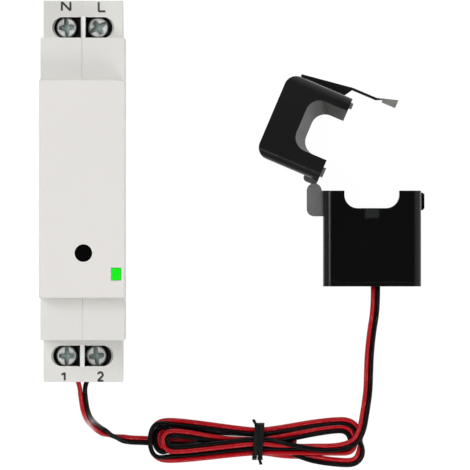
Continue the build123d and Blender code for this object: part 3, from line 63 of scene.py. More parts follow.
# Monitor: its middle, the heights of its nose and ends, and its screw openings beside their rib
COVER_LOW, COVER_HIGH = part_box("front_cover")
METER_X = (COVER_LOW.x + COVER_HIGH.x) / 2
NOSE_TOP = COVER_HIGH.z
END_TOP = 44 * MM
OPENING_WIDTH = 6.2 * MM
OPENING_HEIGHT = 4.5 * MM
RIB_HALF = 0.4 * MM

# Width of one wire of the lead
WIRE = 1 * MM

# Gaps within which corners of a mesh are merged: kept normals, and shapes that are cut or rounded
MERGE = 0.0005 * MM
WELD = 0.002 * MM

# Camera over the middle of the photograph: its lens and sensor are in millimetres
VIEW_X = 0.43 * MM
VIEW_Y = -9.125 * MM
VIEW_WIDTH = 97.71 * MM
LENS = 1600.0
SENSOR = 36.0
NEAREST = 0.1


def add_camera():
    """Long lens straight above, so that every item is seen square on."""
    distance = VIEW_WIDTH * LENS / SENSOR
    bpy.ops.object.camera_add(location=(VIEW_X, VIEW_Y, NOSE_TOP + distance))
    camera = bpy.context.object
    camera.data.lens = LENS
    camera.data.sensor_width = SENSOR
    camera.data.clip_start = NEAREST
    camera.data.clip_end = 2 * distance
    bpy.context.scene.camera = camera


def add_light(name, place, size, power, aim):
    """Soft rectangular lamp that looks at a place."""
    bpy.ops.object.light_add(type="AREA", location=place)
    lamp = bpy.context.object
    lamp.name = name
    lamp.data.shape = "RECTANGLE"
    lamp.data.size, lamp.data.size_y = size
    lamp.data.energy = power
    lamp.rotation_euler = (aim - Vector(place)).to_track_quat("-Z", "Y").to_euler()


# Broad lamps: name, place, size and power
LAMPS = [
    ("key_lamp", (-0.5, 0.2, 0.95), (0.5, 0.5), 4.2),
    ("fill_lamp", (0.55, -0.55, 0.8), (0.5, 0.5), 2.4),
]

# Narrow lamps that show only as highlights on glossy edges: name, place and size
GLEAM_POWER = 1.6
GLEAMS = [
    ("left_gleam", (-0.3, -0.35, 0.95), (0.05, 0.4)),
    ("right_gleam", (0.75, 0.1, 0.5), (0.03, 0.5)),
    ("upper_gleam", (-0.1, 0.75, 0.5), (0.5, 0.03)),
    ("lower_gleam", (0.1, -0.8, 0.45), (0.5, 0.03)),
]

# Place that every lamp looks at
LIT_PLACE = mm(0, -5, 10)


def add_lights():
    """Broad lamp to the upper left, a weaker one to the lower right, and gleams on edges."""
    for name, place, size, power in LAMPS:
        add_light(name, place, size, power, LIT_PLACE)
    for name, place, size in GLEAMS:
        add_light(name, place, size, GLEAM_POWER, LIT_PLACE)
        bpy.context.object.visible_diffuse = False


def add_node(tree, kind, operation=None):
    """New shader node, with its operation where it has one."""
    node = tree.nodes.new(f"ShaderNode{kind}")
    if operation:
        node.operation = operation
    return node


def new_material(name):
    """New material, its node tree and its Principled shader."""
    material = bpy.data.materials.new(name)
    material.use_nodes = True
    tree = material.node_tree
    return material, tree, tree.nodes["Principled BSDF"]


# Room: heights from the horizon, 0, to straight up, 1, each with its grey
SKY = [(0.25, 0.95), (0.9, 0.34), (0.96, 0.06)]

# Side of the room that reflections show bright, how far toward it they begin and end to brighten,
# and the share of light that they show on the other side
BRIGHT_SIDE = (0.7, 0.7, 0.0)
BRIGHTENING = (-0.4, 0.2)
DIM_SHARE = 0.25


def add_world():
    """Room that is darker overhead than at the horizon, and to the lower left in reflections."""
    world = bpy.data.worlds.new("studio")
    bpy.context.scene.world = world
    world.use_nodes = True
    tree = world.node_tree
    place = add_node(tree, "TexCoord")
    split = add_node(tree, "SeparateXYZ")
    ramp = add_node(tree, "ValToRGB")
    greys = ramp.color_ramp.elements
    for number, (height, grey) in enumerate(SKY):
        entry = greys[number] if number < len(greys) else greys.new(height)
        entry.position = height
        entry.color = (grey, grey, grey, 1)
    tree.links.new(place.outputs["Generated"], split.inputs[0])
    tree.links.new(split.outputs["Z"], ramp.inputs["Fac"])
    tree.links.new(ramp.outputs["Color"], tree.nodes["Background"].inputs["Color"])
    toward = add_node(tree, "VectorMath", "DOT_PRODUCT")
    toward.inputs[1].default_value = BRIGHT_SIDE
    side = add_node(tree, "MapRange")
    side.inputs["From Min"].default_value, side.inputs["From Max"].default_value = BRIGHTENING
    side.inputs["To Min"].default_value = DIM_SHARE
    ray = add_node(tree, "LightPath")
    strength = add_node(tree, "Mix")
    strength.inputs["A"].default_value = 1.0
    tree.links.new(place.outputs["Generated"], toward.inputs[0])
    tree.links.new(toward.outputs["Value"], side.inputs["Value"])
    tree.links.new(ray.outputs["Is Glossy Ray"], strength.inputs["Factor"])
    tree.links.new(side.outputs["Result"], strength.inputs["B"])
    tree.links.new(strength.outputs["Result"], tree.nodes["Background"].inputs["Strength"])


# Table: its width in metres, how far it lies below the part, its grey and roughness, and the white
# glow that the camera and reflections see mixed with it
FLOOR_WIDTH = 12
FLOOR_DROP = 0.02 * MM
FLOOR_GREY = 0.86
FLOOR_ROUGHNESS = 0.9
GLOW_SHARE = 0.9
GLOW_STRENGTH = 1.08


def add_floor():
    """White table that keeps a faint shadow."""
    bpy.ops.mesh.primitive_plane_add(size=FLOOR_WIDTH, location=(0, 0, -FLOOR_DROP))
    floor = bpy.context.object
    floor.name = "table"
    material, tree, shader = new_material("table_white")
    shader.inputs["Base Color"].default_value = (FLOOR_GREY, FLOOR_GREY, FLOOR_GREY, 1)
    shader.inputs["Roughness"].default_value = FLOOR_ROUGHNESS
    shader.inputs["Specular IOR Level"].default_value = 0.0
    glow = add_node(tree, "Emission")
    glow.inputs["Strength"].default_value = GLOW_STRENGTH
    seen = add_node(tree, "LightPath")
    either = add_node(tree, "Math", "MAXIMUM")
    any_ray = add_node(tree, "Math", "MAXIMUM")
    share = add_node(tree, "Math", "MULTIPLY")
    share.inputs[1].default_value = GLOW_SHARE
    mix = add_node(tree, "MixShader")
    tree.links.new(seen.outputs["Is Camera Ray"], either.inputs[0])
    tree.links.new(seen.outputs["Is Glossy Ray"], either.inputs[1])
    tree.links.new(either.outputs[0], any_ray.inputs[0])
    tree.links.new(seen.outputs["Is Transmission Ray"], any_ray.inputs[1])
    tree.links.new(any_ray.outputs[0], share.inputs[0])
    tree.links.new(share.outputs[0], mix.inputs[0])
    tree.links.new(shader.outputs[0], mix.inputs[1])
    tree.links.new(glow.outputs[0], mix.inputs[2])
    tree.links.new(mix.outputs[0], tree.nodes["Material Output"].inputs["Surface"])
    floor.data.materials.append(material)


def linear(red, green, blue):
    """Colour given as it shows on a screen, 0 to 255, in the renderer's own scale."""
    shares = [value / 255 for value in (red, green, blue)]
    return [s / 12.92 if s <= 0.04045 else ((s + 0.055) / 1.055) ** 2.4 for s in shares]


def group_sockets(group, inputs, outputs):
    """Named sockets of a node group, and its two end nodes."""
    for name, kind, value in inputs:
        socket = group.interface.new_socket(name, in_out="INPUT", socket_type=kind)
        socket.default_value = value
    for name, kind in outputs:
        group.interface.new_socket(name, in_out="OUTPUT", socket_type=kind)
    return group.nodes.new("NodeGroupInput"), group.nodes.new("NodeGroupOutput")


def noise_node(group, scale, detail):
    """Noise on the piece's own coordinates, with its scale from a socket."""
    place = add_node(group, "TexCoord")
    noise = add_node(group, "TexNoise")
    noise.inputs["Detail"].default_value = detail
    group.links.new(place.outputs["Object"], noise.inputs["Vector"])
    group.links.new(scale, noise.inputs["Scale"])
    return noise


# Levels of detail in the noise of the grain, the mottling and the metal's lines
GRAIN_DETAIL, MOTTLE_DETAIL, LINE_DETAIL = 2.0, 3.0, 4.0


def make_grain_group():
    """Moulded skin: fine grain, slow mottling of tone, and uneven gloss."""
    group = bpy.data.node_groups.new("moulded_skin", "ShaderNodeTree")
    start, end = group_sockets(
        group,
        [("Grain Scale", "NodeSocketFloat", 9000.0), ("Mottle Scale", "NodeSocketFloat", 60.0),
         ("Mottle", "NodeSocketFloat", 0.05), ("Roughness", "NodeSocketFloat", 0.5),
         ("Unevenness", "NodeSocketFloat", 0.1), ("Colour", "NodeSocketColor", (1, 1, 1, 1))],
        [("Colour", "NodeSocketColor"), ("Roughness", "NodeSocketFloat"),
         ("Height", "NodeSocketFloat")])
    grain = noise_node(group, start.outputs["Grain Scale"], GRAIN_DETAIL)
    mottle = noise_node(group, start.outputs["Mottle Scale"], MOTTLE_DETAIL)
    centred = add_node(group, "Math", "SUBTRACT")
    centred.inputs[1].default_value = 0.5
    tone = add_node(group, "Math", "MULTIPLY_ADD")
    tone.inputs[2].default_value = 1.0
    dull = add_node(group, "Math", "MULTIPLY_ADD")
    scaled = add_node(group, "VectorMath", "SCALE")
    group.links.new(mottle.outputs["Fac"], centred.inputs[0])
    group.links.new(centred.outputs[0], tone.inputs[0])
    group.links.new(start.outputs["Mottle"], tone.inputs[1])
    group.links.new(start.outputs["Colour"], scaled.inputs[0])
    group.links.new(tone.outputs[0], scaled.inputs["Scale"])
    group.links.new(centred.outputs[0], dull.inputs[0])
    group.links.new(start.outputs["Unevenness"], dull.inputs[1])
    group.links.new(start.outputs["Roughness"], dull.inputs[2])
    group.links.new(scaled.outputs[0], end.inputs["Colour"])
    group.links.new(dull.outputs[0], end.inputs["Roughness"])
    group.links.new(grain.outputs["Fac"], end.inputs["Height"])
    return group


def make_scratch_group():
    """Fine lines along one direction, for worked metal."""
    group = bpy.data.node_groups.new("worked_metal", "ShaderNodeTree")
    start, end = group_sockets(
        group,
        [("Line Scale", "NodeSocketFloat", 900.0), ("Stretch", "NodeSocketVector", (1, 1, 12))],
        [("Lines", "NodeSocketFloat")])
    place = add_node(group, "TexCoord")
    stretch = add_node(group, "VectorMath", "MULTIPLY")
    noise = add_node(group, "TexNoise")
    noise.inputs["Detail"].default_value = LINE_DETAIL
    group.links.new(place.outputs["Object"], stretch.inputs[0])
    group.links.new(start.outputs["Stretch"], stretch.inputs[1])
    group.links.new(stretch.outputs[0], noise.inputs["Vector"])
    group.links.new(start.outputs["Line Scale"], noise.inputs["Scale"])
    group.links.new(noise.outputs["Fac"], end.inputs["Lines"])
    return group


def make_box_group():
    """Mask that is 1 inside an upright box of the piece's own coordinates."""
    group = bpy.data.node_groups.new("inside_box", "ShaderNodeTree")
    start, end = group_sockets(
        group,
        [("Middle", "NodeSocketVector", (0, 0, 0)), ("Half Size", "NodeSocketVector", (1, 1, 1))],
        [("Mask", "NodeSocketFloat")])
    place = add_node(group, "TexCoord")
    offset = add_node(group, "VectorMath", "SUBTRACT")
    size = add_node(group, "VectorMath", "ABSOLUTE")
    room = add_node(group, "VectorMath", "SUBTRACT")
    split = add_node(group, "SeparateXYZ")
    least = add_node(group, "Math", "MINIMUM")
    least_of_all = add_node(group, "Math", "MINIMUM")
    inside = add_node(group, "Math", "GREATER_THAN")
    inside.inputs[1].default_value = 0.0
    group.links.new(place.outputs["Object"], offset.inputs[0])
    group.links.new(start.outputs["Middle"], offset.inputs[1])
    group.links.new(offset.outputs[0], size.inputs[0])
    group.links.new(start.outputs["Half Size"], room.inputs[0])
    group.links.new(size.outputs[0], room.inputs[1])
    group.links.new(room.outputs[0], split.inputs[0])
    group.links.new(split.outputs["X"], least.inputs[0])
    group.links.new(split.outputs["Y"], least.inputs[1])
    group.links.new(least.outputs[0], least_of_all.inputs[0])
    group.links.new(split.outputs["Z"], least_of_all.inputs[1])
    group.links.new(least_of_all.outputs[0], inside.inputs[0])
    group.links.new(inside.outputs[0], end.inputs["Mask"])
    return group


SKIN = make_grain_group()
METAL = make_scratch_group()
IN_BOX = make_box_group()

# A mix node's sockets for two colours and for their mix
COLOUR_A, COLOUR_B, MIXED_COLOUR = 6, 7, 2


def fill_boxes(tree, colour, inner, boxes):
    """Second colour inside boxes, each given by its middle and half its size in millimetres."""
    for middle, half in boxes:
        mask = add_node(tree, "Group")
        mask.node_tree = IN_BOX
        mask.inputs["Middle"].default_value = mm(*middle)
        mask.inputs["Half Size"].default_value = mm(*half)
        mix = add_node(tree, "Mix")
        mix.data_type = "RGBA"
        tree.links.new(mask.outputs["Mask"], mix.inputs["Factor"])
        tree.links.new(colour, mix.inputs[COLOUR_A])
        mix.inputs[COLOUR_B].default_value = (*inner, 1)
        colour = mix.outputs[MIXED_COLOUR]
    return colour


# Screw openings in millimetres, at the upper end, 1, and the lower end, -1: the rib between two of
# them, their screws and the tops of the heads
ENDS = (1, -1)
RIB_X = {1: METER_X / MM + 0.05, -1: METER_X / MM - 0.15}
SCREW_Y = {1: 34.225, -1: -34.375}
HEAD_TOP = 41.9

# Boxes that take a colour of their own: painted shade in the rooms round the screws, a painted
# highlight on the tops of the ribs, and painted shade in the recesses in the heads
PAIR_HALF = (6.1, 2.4)
SHADED_WELLS = [((RIB_X[end], SCREW_Y[end], 41.8), (*PAIR_HALF, 2.05)) for end in ENDS]
# Rib tops are painted near white, a painted highlight
LIT_RIB_TOPS = [((RIB_X[end], SCREW_Y[end], 44.0), (0.42, 2.3, 0.1)) for end in ENDS]
SHADED_RECESSES = [((METER_X / MM, SCREW_Y[end], HEAD_TOP - 1.2), (*PAIR_HALF, 1.05)) for end in ENDS]

# Roughness of a coat of lacquer
COAT_ROUGHNESS = 0.06


def finish_of(name, colour, roughness, grain=9000.0, depth=0.01, mottle=0.05, mottle_scale=60.0,
              unevenness=0.1, metallic=0.0, specular=0.5, coat=0.0, lines=None, glow=0.0,
              edge=0.0, inside=()):
    """Material of one finish: a moulded skin, or a worked metal where lines are given.

    An edge radius in millimetres softens sharp edges, and inside lists further colours, each with
    the boxes, in millimetres, that it fills.
    """
    material, tree, shader = new_material(name)
    skin = add_node(tree, "Group")
    skin.node_tree = SKIN
    skin.inputs["Grain Scale"].default_value = grain
    skin.inputs["Mottle Scale"].default_value = mottle_scale
    skin.inputs["Mottle"].default_value = mottle
    skin.inputs["Roughness"].default_value = roughness
    skin.inputs["Unevenness"].default_value = unevenness
    skin.inputs["Colour"].default_value = (*colour, 1)
    bump = add_node(tree, "Bump")
    bump.inputs["Distance"].default_value = depth * MM
    bump.inputs["Strength"].default_value = 1.0
    height = skin.outputs["Height"]
    if lines:
        metal = add_node(tree, "Group")
        metal.node_tree = METAL
        metal.inputs["Stretch"].default_value = lines
        height = metal.outputs["Lines"]
    tree.links.new(height, bump.inputs["Height"])
    if edge:
        soft = add_node(tree, "Bevel")
        soft.inputs["Radius"].default_value = edge * MM
        tree.links.new(soft.outputs["Normal"], bump.inputs["Normal"])
    tree.links.new(bump.outputs["Normal"], shader.inputs["Normal"])
    colour_out = skin.outputs["Colour"]
    for inner, boxes in inside:
        colour_out = fill_boxes(tree, colour_out, inner, boxes)
    tree.links.new(colour_out, shader.inputs["Base Color"])
    tree.links.new(skin.outputs["Roughness"], shader.inputs["Roughness"])
    shader.inputs["Metallic"].default_value = metallic
    shader.inputs["Specular IOR Level"].default_value = specular
    if coat:
        shader.inputs["Coat Weight"].default_value = coat
        shader.inputs["Coat Roughness"].default_value = COAT_ROUGHNESS
    if glow:
        tree.links.new(skin.outputs["Colour"], shader.inputs["Emission Color"])
        shader.inputs["Emission Strength"].default_value = glow
    return material


FINISHES = {
    # Housing grey: painted shade round the screws, a painted highlight on the rib tops
    "housing_grey": finish_of("housing_grey", linear(225, 224, 220), 0.55, depth=0.012, mottle=0.03,
                              specular=0.3, edge=0.12,
                              inside=[(linear(12, 12, 12), SHADED_WELLS), (linear(250, 250, 248), LIT_RIB_TOPS)]),
    "cover_grey": finish_of("cover_grey", linear(229, 226, 222), 0.5, depth=0.01, mottle=0.02,
                            specular=0.3),
    # Darker copy of the housing grey, painted shade on the steps in the openings
    "step_shade_grey": finish_of("step_shade_grey", linear(196, 196, 193), 0.5, depth=0.01, mottle=0.1),
    # Near white of the raised rims, a painted highlight on lit edges
    "rim_highlight_white": finish_of("rim_highlight_white", linear(240, 239, 236), 0.4, depth=0.004, mottle=0.02),
    "button_black": finish_of("button_black", linear(4, 4, 4), 0.6, depth=0.01, specular=0.02),
    "light_green": finish_of("light_green", linear(14, 222, 22), 0.3, depth=0.002, mottle=0.2,
                             mottle_scale=500.0, glow=0.25, specular=0.15),
    "ct_black": finish_of("ct_black", linear(12, 12, 12), 0.14, depth=0.002, mottle=0.3,
                          unevenness=0.08, specular=0.25, edge=0.2),
    "lid_black": finish_of("lid_black", linear(27, 27, 28), 0.2, depth=0.002, mottle=0.4,
                           unevenness=0.08, specular=0.3, edge=0.2),
    # Painted sheen on the black window wall, and a dimmer one on the arm's faces toward the hinge
    "band_grey": finish_of("band_grey", linear(98, 97, 98), 0.45, depth=0.01, mottle=0.2,
                           mottle_scale=350.0, specular=0.3),
    "arm_grey": finish_of("arm_grey", linear(70, 72, 67), 0.35, depth=0.01, mottle=0.3,
                          mottle_scale=350.0, specular=0.3),
    "ct_trim": finish_of("ct_trim", linear(26, 30, 30), 0.4, depth=0.006, specular=0.2),
    "hinge_grey": finish_of("hinge_grey", linear(96, 96, 98), 0.42, depth=0.015, mottle=0.6,
                            mottle_scale=350.0, edge=0.3),
    "steel": finish_of("steel", linear(190, 190, 192), 0.3, metallic=1.0, lines=(1, 1, 12)),
    # Screw heads, with painted shade in their cross recesses
    "screw_zinc": finish_of("screw_zinc", linear(255, 255, 254), 0.3, depth=0.02, mottle=0.12,
                            mottle_scale=900.0, unevenness=0.3, specular=0.6, edge=0.12,
                            inside=[(linear(158, 176, 171), SHADED_RECESSES)]),
    "core_steel": finish_of("core_steel", linear(205, 205, 202), 0.34, metallic=1.0, depth=0.02,
                            lines=(14, 1, 1)),
    "ferrite": finish_of("ferrite", linear(60, 60, 62), 0.6, depth=0.03, mottle=0.3),
    "brass": finish_of("brass", linear(214, 184, 118), 0.3, metallic=1.0, lines=(1, 12, 1)),
    "copper": finish_of("copper", linear(220, 150, 110), 0.3, metallic=1.0, lines=(1, 12, 1)),
    "winding_copper": finish_of("winding_copper", linear(150, 70, 35), 0.3, metallic=0.8,
                                lines=(14, 1, 1)),
    "winding_tape": finish_of("winding_tape", linear(214, 190, 70), 0.4, depth=0.02),
    "former_white": finish_of("former_white", linear(226, 226, 220), 0.5),
    "board_green": finish_of("board_green", linear(28, 96, 50), 0.35, depth=0.01, mottle=0.3,
                             mottle_scale=500.0),
    "component_black": finish_of("component_black", linear(22, 22, 23), 0.5, depth=0.01),
    "component_blue": finish_of("component_blue", linear(40, 70, 160), 0.25, coat=0.5),
    "component_brown": finish_of("component_brown", linear(140, 105, 75), 0.6, depth=0.03),
    "wire_red": finish_of("wire_red", linear(180, 6, 20), 0.27, depth=0.012, mottle=0.25,
                          mottle_scale=300.0, grain=4000.0, specular=0.25),
    "wire_black": finish_of("wire_black", linear(6, 5, 6), 0.3, depth=0.012, mottle=0.25,
                            mottle_scale=300.0, grain=4000.0, specular=0.1),
    "tie_black": finish_of("tie_black", linear(10, 10, 10), 0.5, depth=0.03, grain=5000.0,
                           specular=0.15),
    "mark_grey": finish_of("mark_grey", linear(44, 44, 44), 0.5, depth=0.004),
    # Grey of the strap's grip and its pad, a painted sheen on black plastic
    "strap_satin": finish_of("strap_satin", linear(122, 122, 118), 0.35, depth=0.02, mottle=0.3,
                             mottle_scale=500.0),
}

SLOT_OF = {part["node"]: part["material_slot"] for part in frame["record"]["subparts"]}
BODY_OF = {
    node: body for body, nodes in frame["record"]["behaviour"]["bodies"].items() for node in nodes
}


def paint(piece, *finishes):
    """Put finishes into a piece's material slots, in order."""
    slots = piece.data.materials
    for number, finish in enumerate(finishes):
        if number < len(slots):
            slots[number] = FINISHES[finish]
        else:
            slots.append(FINISHES[finish])


def deselect():
    """Leave nothing selected."""
    if bpy.context.object and bpy.context.object.mode != "OBJECT":
        bpy.ops.object.mode_set(mode="OBJECT")
    bpy.ops.object.select_all(action="DESELECT")


def make_active(piece):
    """Select one piece alone."""
    deselect()
    piece.select_set(True)
    bpy.context.view_layer.objects.active = piece


def apply_place(piece):
    """Put a piece's place into its mesh, so that its object sits at the origin."""
    make_active(piece)
    bpy.ops.object.transform_apply(location=True, rotation=True, scale=True)


def apply_modifiers(piece):
    """Apply every modifier of a piece."""
    make_active(piece)
    for modifier in list(piece.modifiers):
        bpy.ops.object.modifier_apply(modifier=modifier.name)


def seat(piece, name, body, slot, *finishes):
    """Name a finished piece, give it its finish and let it ride."""
    piece.name = name
    paint(piece, *(finishes or (slot,)))
    apply_place(piece)
    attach(piece, body)
    return piece


# Faces across a rounded edge
ROUND_FACES = 3

# Angles from which an edge is sharp: for smooth shading, on a box and on a moulding
SMOOTH_BELOW = radians(35)
BOX_SHARP = radians(40)
MOULDING_SHARP = radians(50)

# Angle below which a moulding's faces are one, and length below which its edges stay as they are
COPLANAR = radians(0.3)
SHORTEST_EDGE = 1.2 * MM


def linked(name, mesh):
    """New object of a mesh, in the scene."""
    piece = bpy.data.objects.new(name, mesh)
    bpy.context.scene.collection.objects.link(piece)
    return piece


def bevel(piece, width):
    """Round a piece's sharp edges."""
    modifier = piece.modifiers.new("rounded", "BEVEL")
    modifier.width = width
    modifier.segments = ROUND_FACES
    modifier.limit_method = "ANGLE"
    modifier.angle_limit = BOX_SHARP
    modifier.use_clamp_overlap = True
    apply_modifiers(piece)


def shade(piece):
    """Smooth shading, except across sharp edges, with flat faces kept flat."""
    make_active(piece)
    bpy.ops.object.shade_smooth_by_angle(angle=SMOOTH_BELOW)
    evened = piece.modifiers.new("evened", "WEIGHTED_NORMAL")
    evened.keep_sharp = True
    apply_modifiers(piece)


def softened(node, width):
    """Copy of a CAD node with its long sharp edges rounded, which stands for the node."""
    mesh = frame["nodes"][node].data.copy()
    piece = linked(f"{node}_moulded", mesh)
    work = bmesh.new()
    work.from_mesh(mesh)
    bmesh.ops.remove_doubles(work, verts=work.verts, dist=WELD)
    bmesh.ops.dissolve_limit(work, angle_limit=COPLANAR, verts=work.verts, edges=work.edges)
    weights = work.edges.layers.float.new("bevel_weight_edge")
    for edge in work.edges:
        if len(edge.link_faces) != 2 or edge.calc_length() < SHORTEST_EDGE:
            continue
        if edge.calc_face_angle(0) > MOULDING_SHARP and edge.is_convex:
            edge[weights] = 1.0
    work.to_mesh(mesh)
    work.free()
    modifier = piece.modifiers.new("rounded", "BEVEL")
    modifier.width = width
    modifier.segments = ROUND_FACES
    modifier.limit_method = "WEIGHT"
    modifier.use_clamp_overlap = False
    apply_modifiers(piece)
    seat(piece, f"{node}_moulded", BODY_OF[node], SLOT_OF[node])
    shade(piece)
    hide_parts(node)


# Lead: control points from the monitor to the transformer, in millimetres, with how far the pair
# of wires is turned at each, in degrees
FLAT, EDGE, TURNED = 0.0, 90.0, 180.0
METER_RUN = [
    (-31.48, -42.2, 31.4, FLAT), (-31.2, -45.05, 30.0, FLAT), (-30.6, -47.05, 27.3, FLAT),
    (-30.1, -48.0, 22.95, FLAT), (-29.8, -48.45, 15.0, FLAT), (-29.3, -49.1, 7.5, FLAT),
    (-28.0, -50.3, 4.1, FLAT), (-25.4, -51.6, 2.2, EDGE), (-22.0, -52.4, 1.35, TURNED),
    (-19.0, -52.45, 0.75, TURNED),
]
CT_RUN = [
    (27.9, -46.0, 2.9, TURNED), (28.1545, -44.4, 2.7, TURNED), (28.5, -41.7, 1.7, TURNED),
    (28.6, -38.4, 0.9, TURNED), (28.75, -34.2, 1.5, TURNED), (29.2, -29.6, 5.3, TURNED),
    (30.02, -24.6, 9.0, TURNED), (30.02, -19.94, 9.0, TURNED),
]

# Bundle: heights of its layers, the rows at its waist, and where the waist begins and ends
LAYERS = [0.52, 1.6, 2.68, 3.76]
ROWS = {"top": -50.72, "middle": -52.68, "low": -54.64}
WAIST_ENDS = (3.5, 7.2)

# Row and layer at the waist, then the fold: its end, two legs, their layers, radius, reach, how
# much shorter its second leg is, and turns on the first leg and at the two corners
PASSES = [
    ("middle", 0, 12.5, -54.15, -50.85, 0, 0, 1.65, 2.0, 0.0, (FLAT, FLAT, FLAT)),
    ("top", 0, -16.2, -49.9, -54.7, 1, 1, 2.4, 2.2, 0.2, (FLAT, TURNED, TURNED)),
    ("low", 0, 27.5, -57.15, -48.5, 1, 1, 4.4, 2.2, 1.2, (TURNED, TURNED, FLAT)),
    ("top", 1, -17.5, -48.6, -56.3, 2, 2, 3.75, 2.2, 0.0, (FLAT, EDGE, EDGE)),
    ("low", 1, 25.6, -54.7, -50.0, 1, 1, 2.4, 2.2, 0.8, (FLAT, FLAT, FLAT)),
    ("middle", 1, -14.4, -50.95, -54.3, 3, 3, 1.8, 2.2, 0.2, (FLAT, FLAT, FLAT)),
]

# Bundle's way in, its climb to the last fold, and its way out
HANK_IN = [(-12.0, -52.9, 0.85, TURNED), (-6.0, -52.9, 1.5, EDGE), (-1.0, -52.8, 0.75, FLAT)]
HANK_CLIMB = (-2.5, -52.5, (LAYERS[1] + LAYERS[2]) / 2, FLAT)
HANK_OUT = [
    (13.0, -53.6, LAYERS[2], EDGE), (20.5, -54.3, LAYERS[2], TURNED),
    (25.6, -53.2, LAYERS[2], TURNED), (27.2, -50.4, LAYERS[2], TURNED),
]


def lead_route():
    """Control points of the whole lead, from the monitor to the transformer."""
    route = METER_RUN + HANK_IN
    for number, (row, layer, end_x, first_y, last_y, first, last, radius, reach, less,
                 turns) in enumerate(PASSES):
        side = 1 if number % 2 == 0 else -1
        route += [(x, ROWS[row], LAYERS[layer], FLAT) for x in WAIST_ENDS[::side]]
        if number == len(PASSES) - 1:
            route.append(HANK_CLIMB)
        shoulder = end_x - side * (radius + reach)
        route += [
            (shoulder, first_y, LAYERS[first], turns[0]), (end_x, first_y, LAYERS[first], turns[1]),
            (end_x - side * less, last_y, LAYERS[last], turns[2]),
            (shoulder - side * less, last_y, LAYERS[last], FLAT),
        ]
    route += [(x, ROWS["middle"], LAYERS[2], FLAT) for x in WAIST_ENDS]
    return route + HANK_OUT + CT_RUN


def nurbs_line(points, resolution):
    """Points along one open quadratic NURBS spline with control points in millimetres."""
    curve = bpy.data.curves.new("line", "CURVE")
    curve.dimensions = "3D"
    curve.resolution_u = resolution
    spline = curve.splines.new("NURBS")
    spline.points.add(len(points) - 1)
    for spot, point in zip(spline.points, points):
        spot.co = (*(Vector(point[:3]) * MM), 1)
    spline.order_u = 3
    spline.use_endpoint_u = True
    holder = linked("line", curve)
    mesh = bpy.data.meshes.new_from_object(holder)
    line = [vertex.co.copy() for vertex in mesh.vertices]
    bpy.data.objects.remove(holder)
    bpy.data.curves.remove(curve)
    bpy.data.meshes.remove(mesh)
    return line


def directions(line):
    """Unit direction at each point of a line."""
    ahead = line[1:] + line[-1:]
    behind = line[:1] + line[:-1]
    return [(b - a).normalized() for a, b in zip(behind, ahead)]


# Least sine of a line's angle to the upright where its level side is used
STEEP = 0.35


def level_sides(forward):
    """Sideways unit vector at each point, level where the line isn't steep."""
    flat = [step.cross(Vector((0, 0, 1))) for step in forward]
    known = [number for number, side in enumerate(flat) if side.length > STEEP]
    sides = []
    for number, step in enumerate(forward):
        before = max((k for k in known if k <= number), default=known[0])
        after = min((k for k in known if k >= number), default=known[-1])
        share = 0.0 if after == before else (number - before) / (after - before)
        side = flat[before].normalized().lerp(flat[after].normalized(), share)
        sides.append((side - step * side.dot(step)).normalized())
    return sides


def tube_mesh(work, line, sides, forward, offsets, radius, material, ring=12):
    """Closed tube along a line, shifted sideways by an offset at each point."""
    rings = []
    for point, side, step, offset in zip(line, sides, forward, offsets):
        up = side.cross(step)
        middle = point + offset
        turns = [2 * pi * n / ring for n in range(ring)]
        rings.append([
            work.verts.new(middle + radius * (cos(turn) * side + sin(turn) * up)) for turn in turns
        ])
    faces = []
    for low, high in zip(rings, rings[1:]):
        for n in range(ring):
            after = (n + 1) % ring
            faces.append(work.faces.new((low[n], high[n], high[after], low[after])))
    faces.append(work.faces.new(rings[0]))
    faces.append(work.faces.new(reversed(rings[-1])))
    for face in faces:
        face.material_index = material
        face.smooth = len(face.verts) == 4


def plain_tube(work, line, radius, material, ring):
    """Closed tube round a line, on the line's level sides."""
    forward = directions(line)
    tube_mesh(work, line, level_sides(forward), forward, [Vector()] * len(line), radius, material,
              ring)


def mesh_piece(name, work):
    """Object of a finished bmesh, its faces pointing outwards."""
    bmesh.ops.recalc_face_normals(work, faces=work.faces)
    mesh = bpy.data.meshes.new(name)
    work.to_mesh(mesh)
    work.free()
    return linked(name, mesh)


# Lead: points in each span of its spline, and half the distance between its wires' middles
LEAD_RESOLUTION = 10
HALF_PAIR = 0.49 * WIRE


def make_lead():
    """Twin lead: a red and a black wire bonded side by side, in one long piece.

    A quadratic spline passes each control point half-way along a span, so the turns given there
    hold at those places, and ease from one to the next.
    """
    route = lead_route()
    line = nurbs_line(route, LEAD_RESOLUTION)
    forward = directions(line)
    sides = level_sides(forward)
    spans = len(route) - 2
    stops = [min(max((number - 0.5) / spans, 0.0), 1.0) for number in range(len(route))]
    turned = []
    for number, (side, step) in enumerate(zip(sides, forward)):
        share = number / (len(line) - 1)
        place = max(n for n, stop in enumerate(stops) if stop <= share)
        after = min(place + 1, len(stops) - 1)
        width = stops[after] - stops[place]
        part = 0.0 if width == 0 else (share - stops[place]) / width
        part = part * part * (3 - 2 * part)
        angle = route[place][3] + (route[after][3] - route[place][3]) * part
        turned.append(Matrix.Rotation(radians(angle), 3, step) @ side)
    work = bmesh.new()
    for sign, material in ((1, 0), (-1, 1)):
        offsets = [side * sign * HALF_PAIR for side in turned]
        tube_mesh(work, line, turned, forward, offsets, WIRE / 2, material)
    piece = mesh_piece("twin_lead", work)
    seat(piece, "twin_lead", "base", "wire_red", "wire_red", "wire_black")
    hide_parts("lead_meter_run", "lead_hank", "lead_ct_run")
    return piece, line, sum((b - a).length for a, b in zip(line, line[1:]))


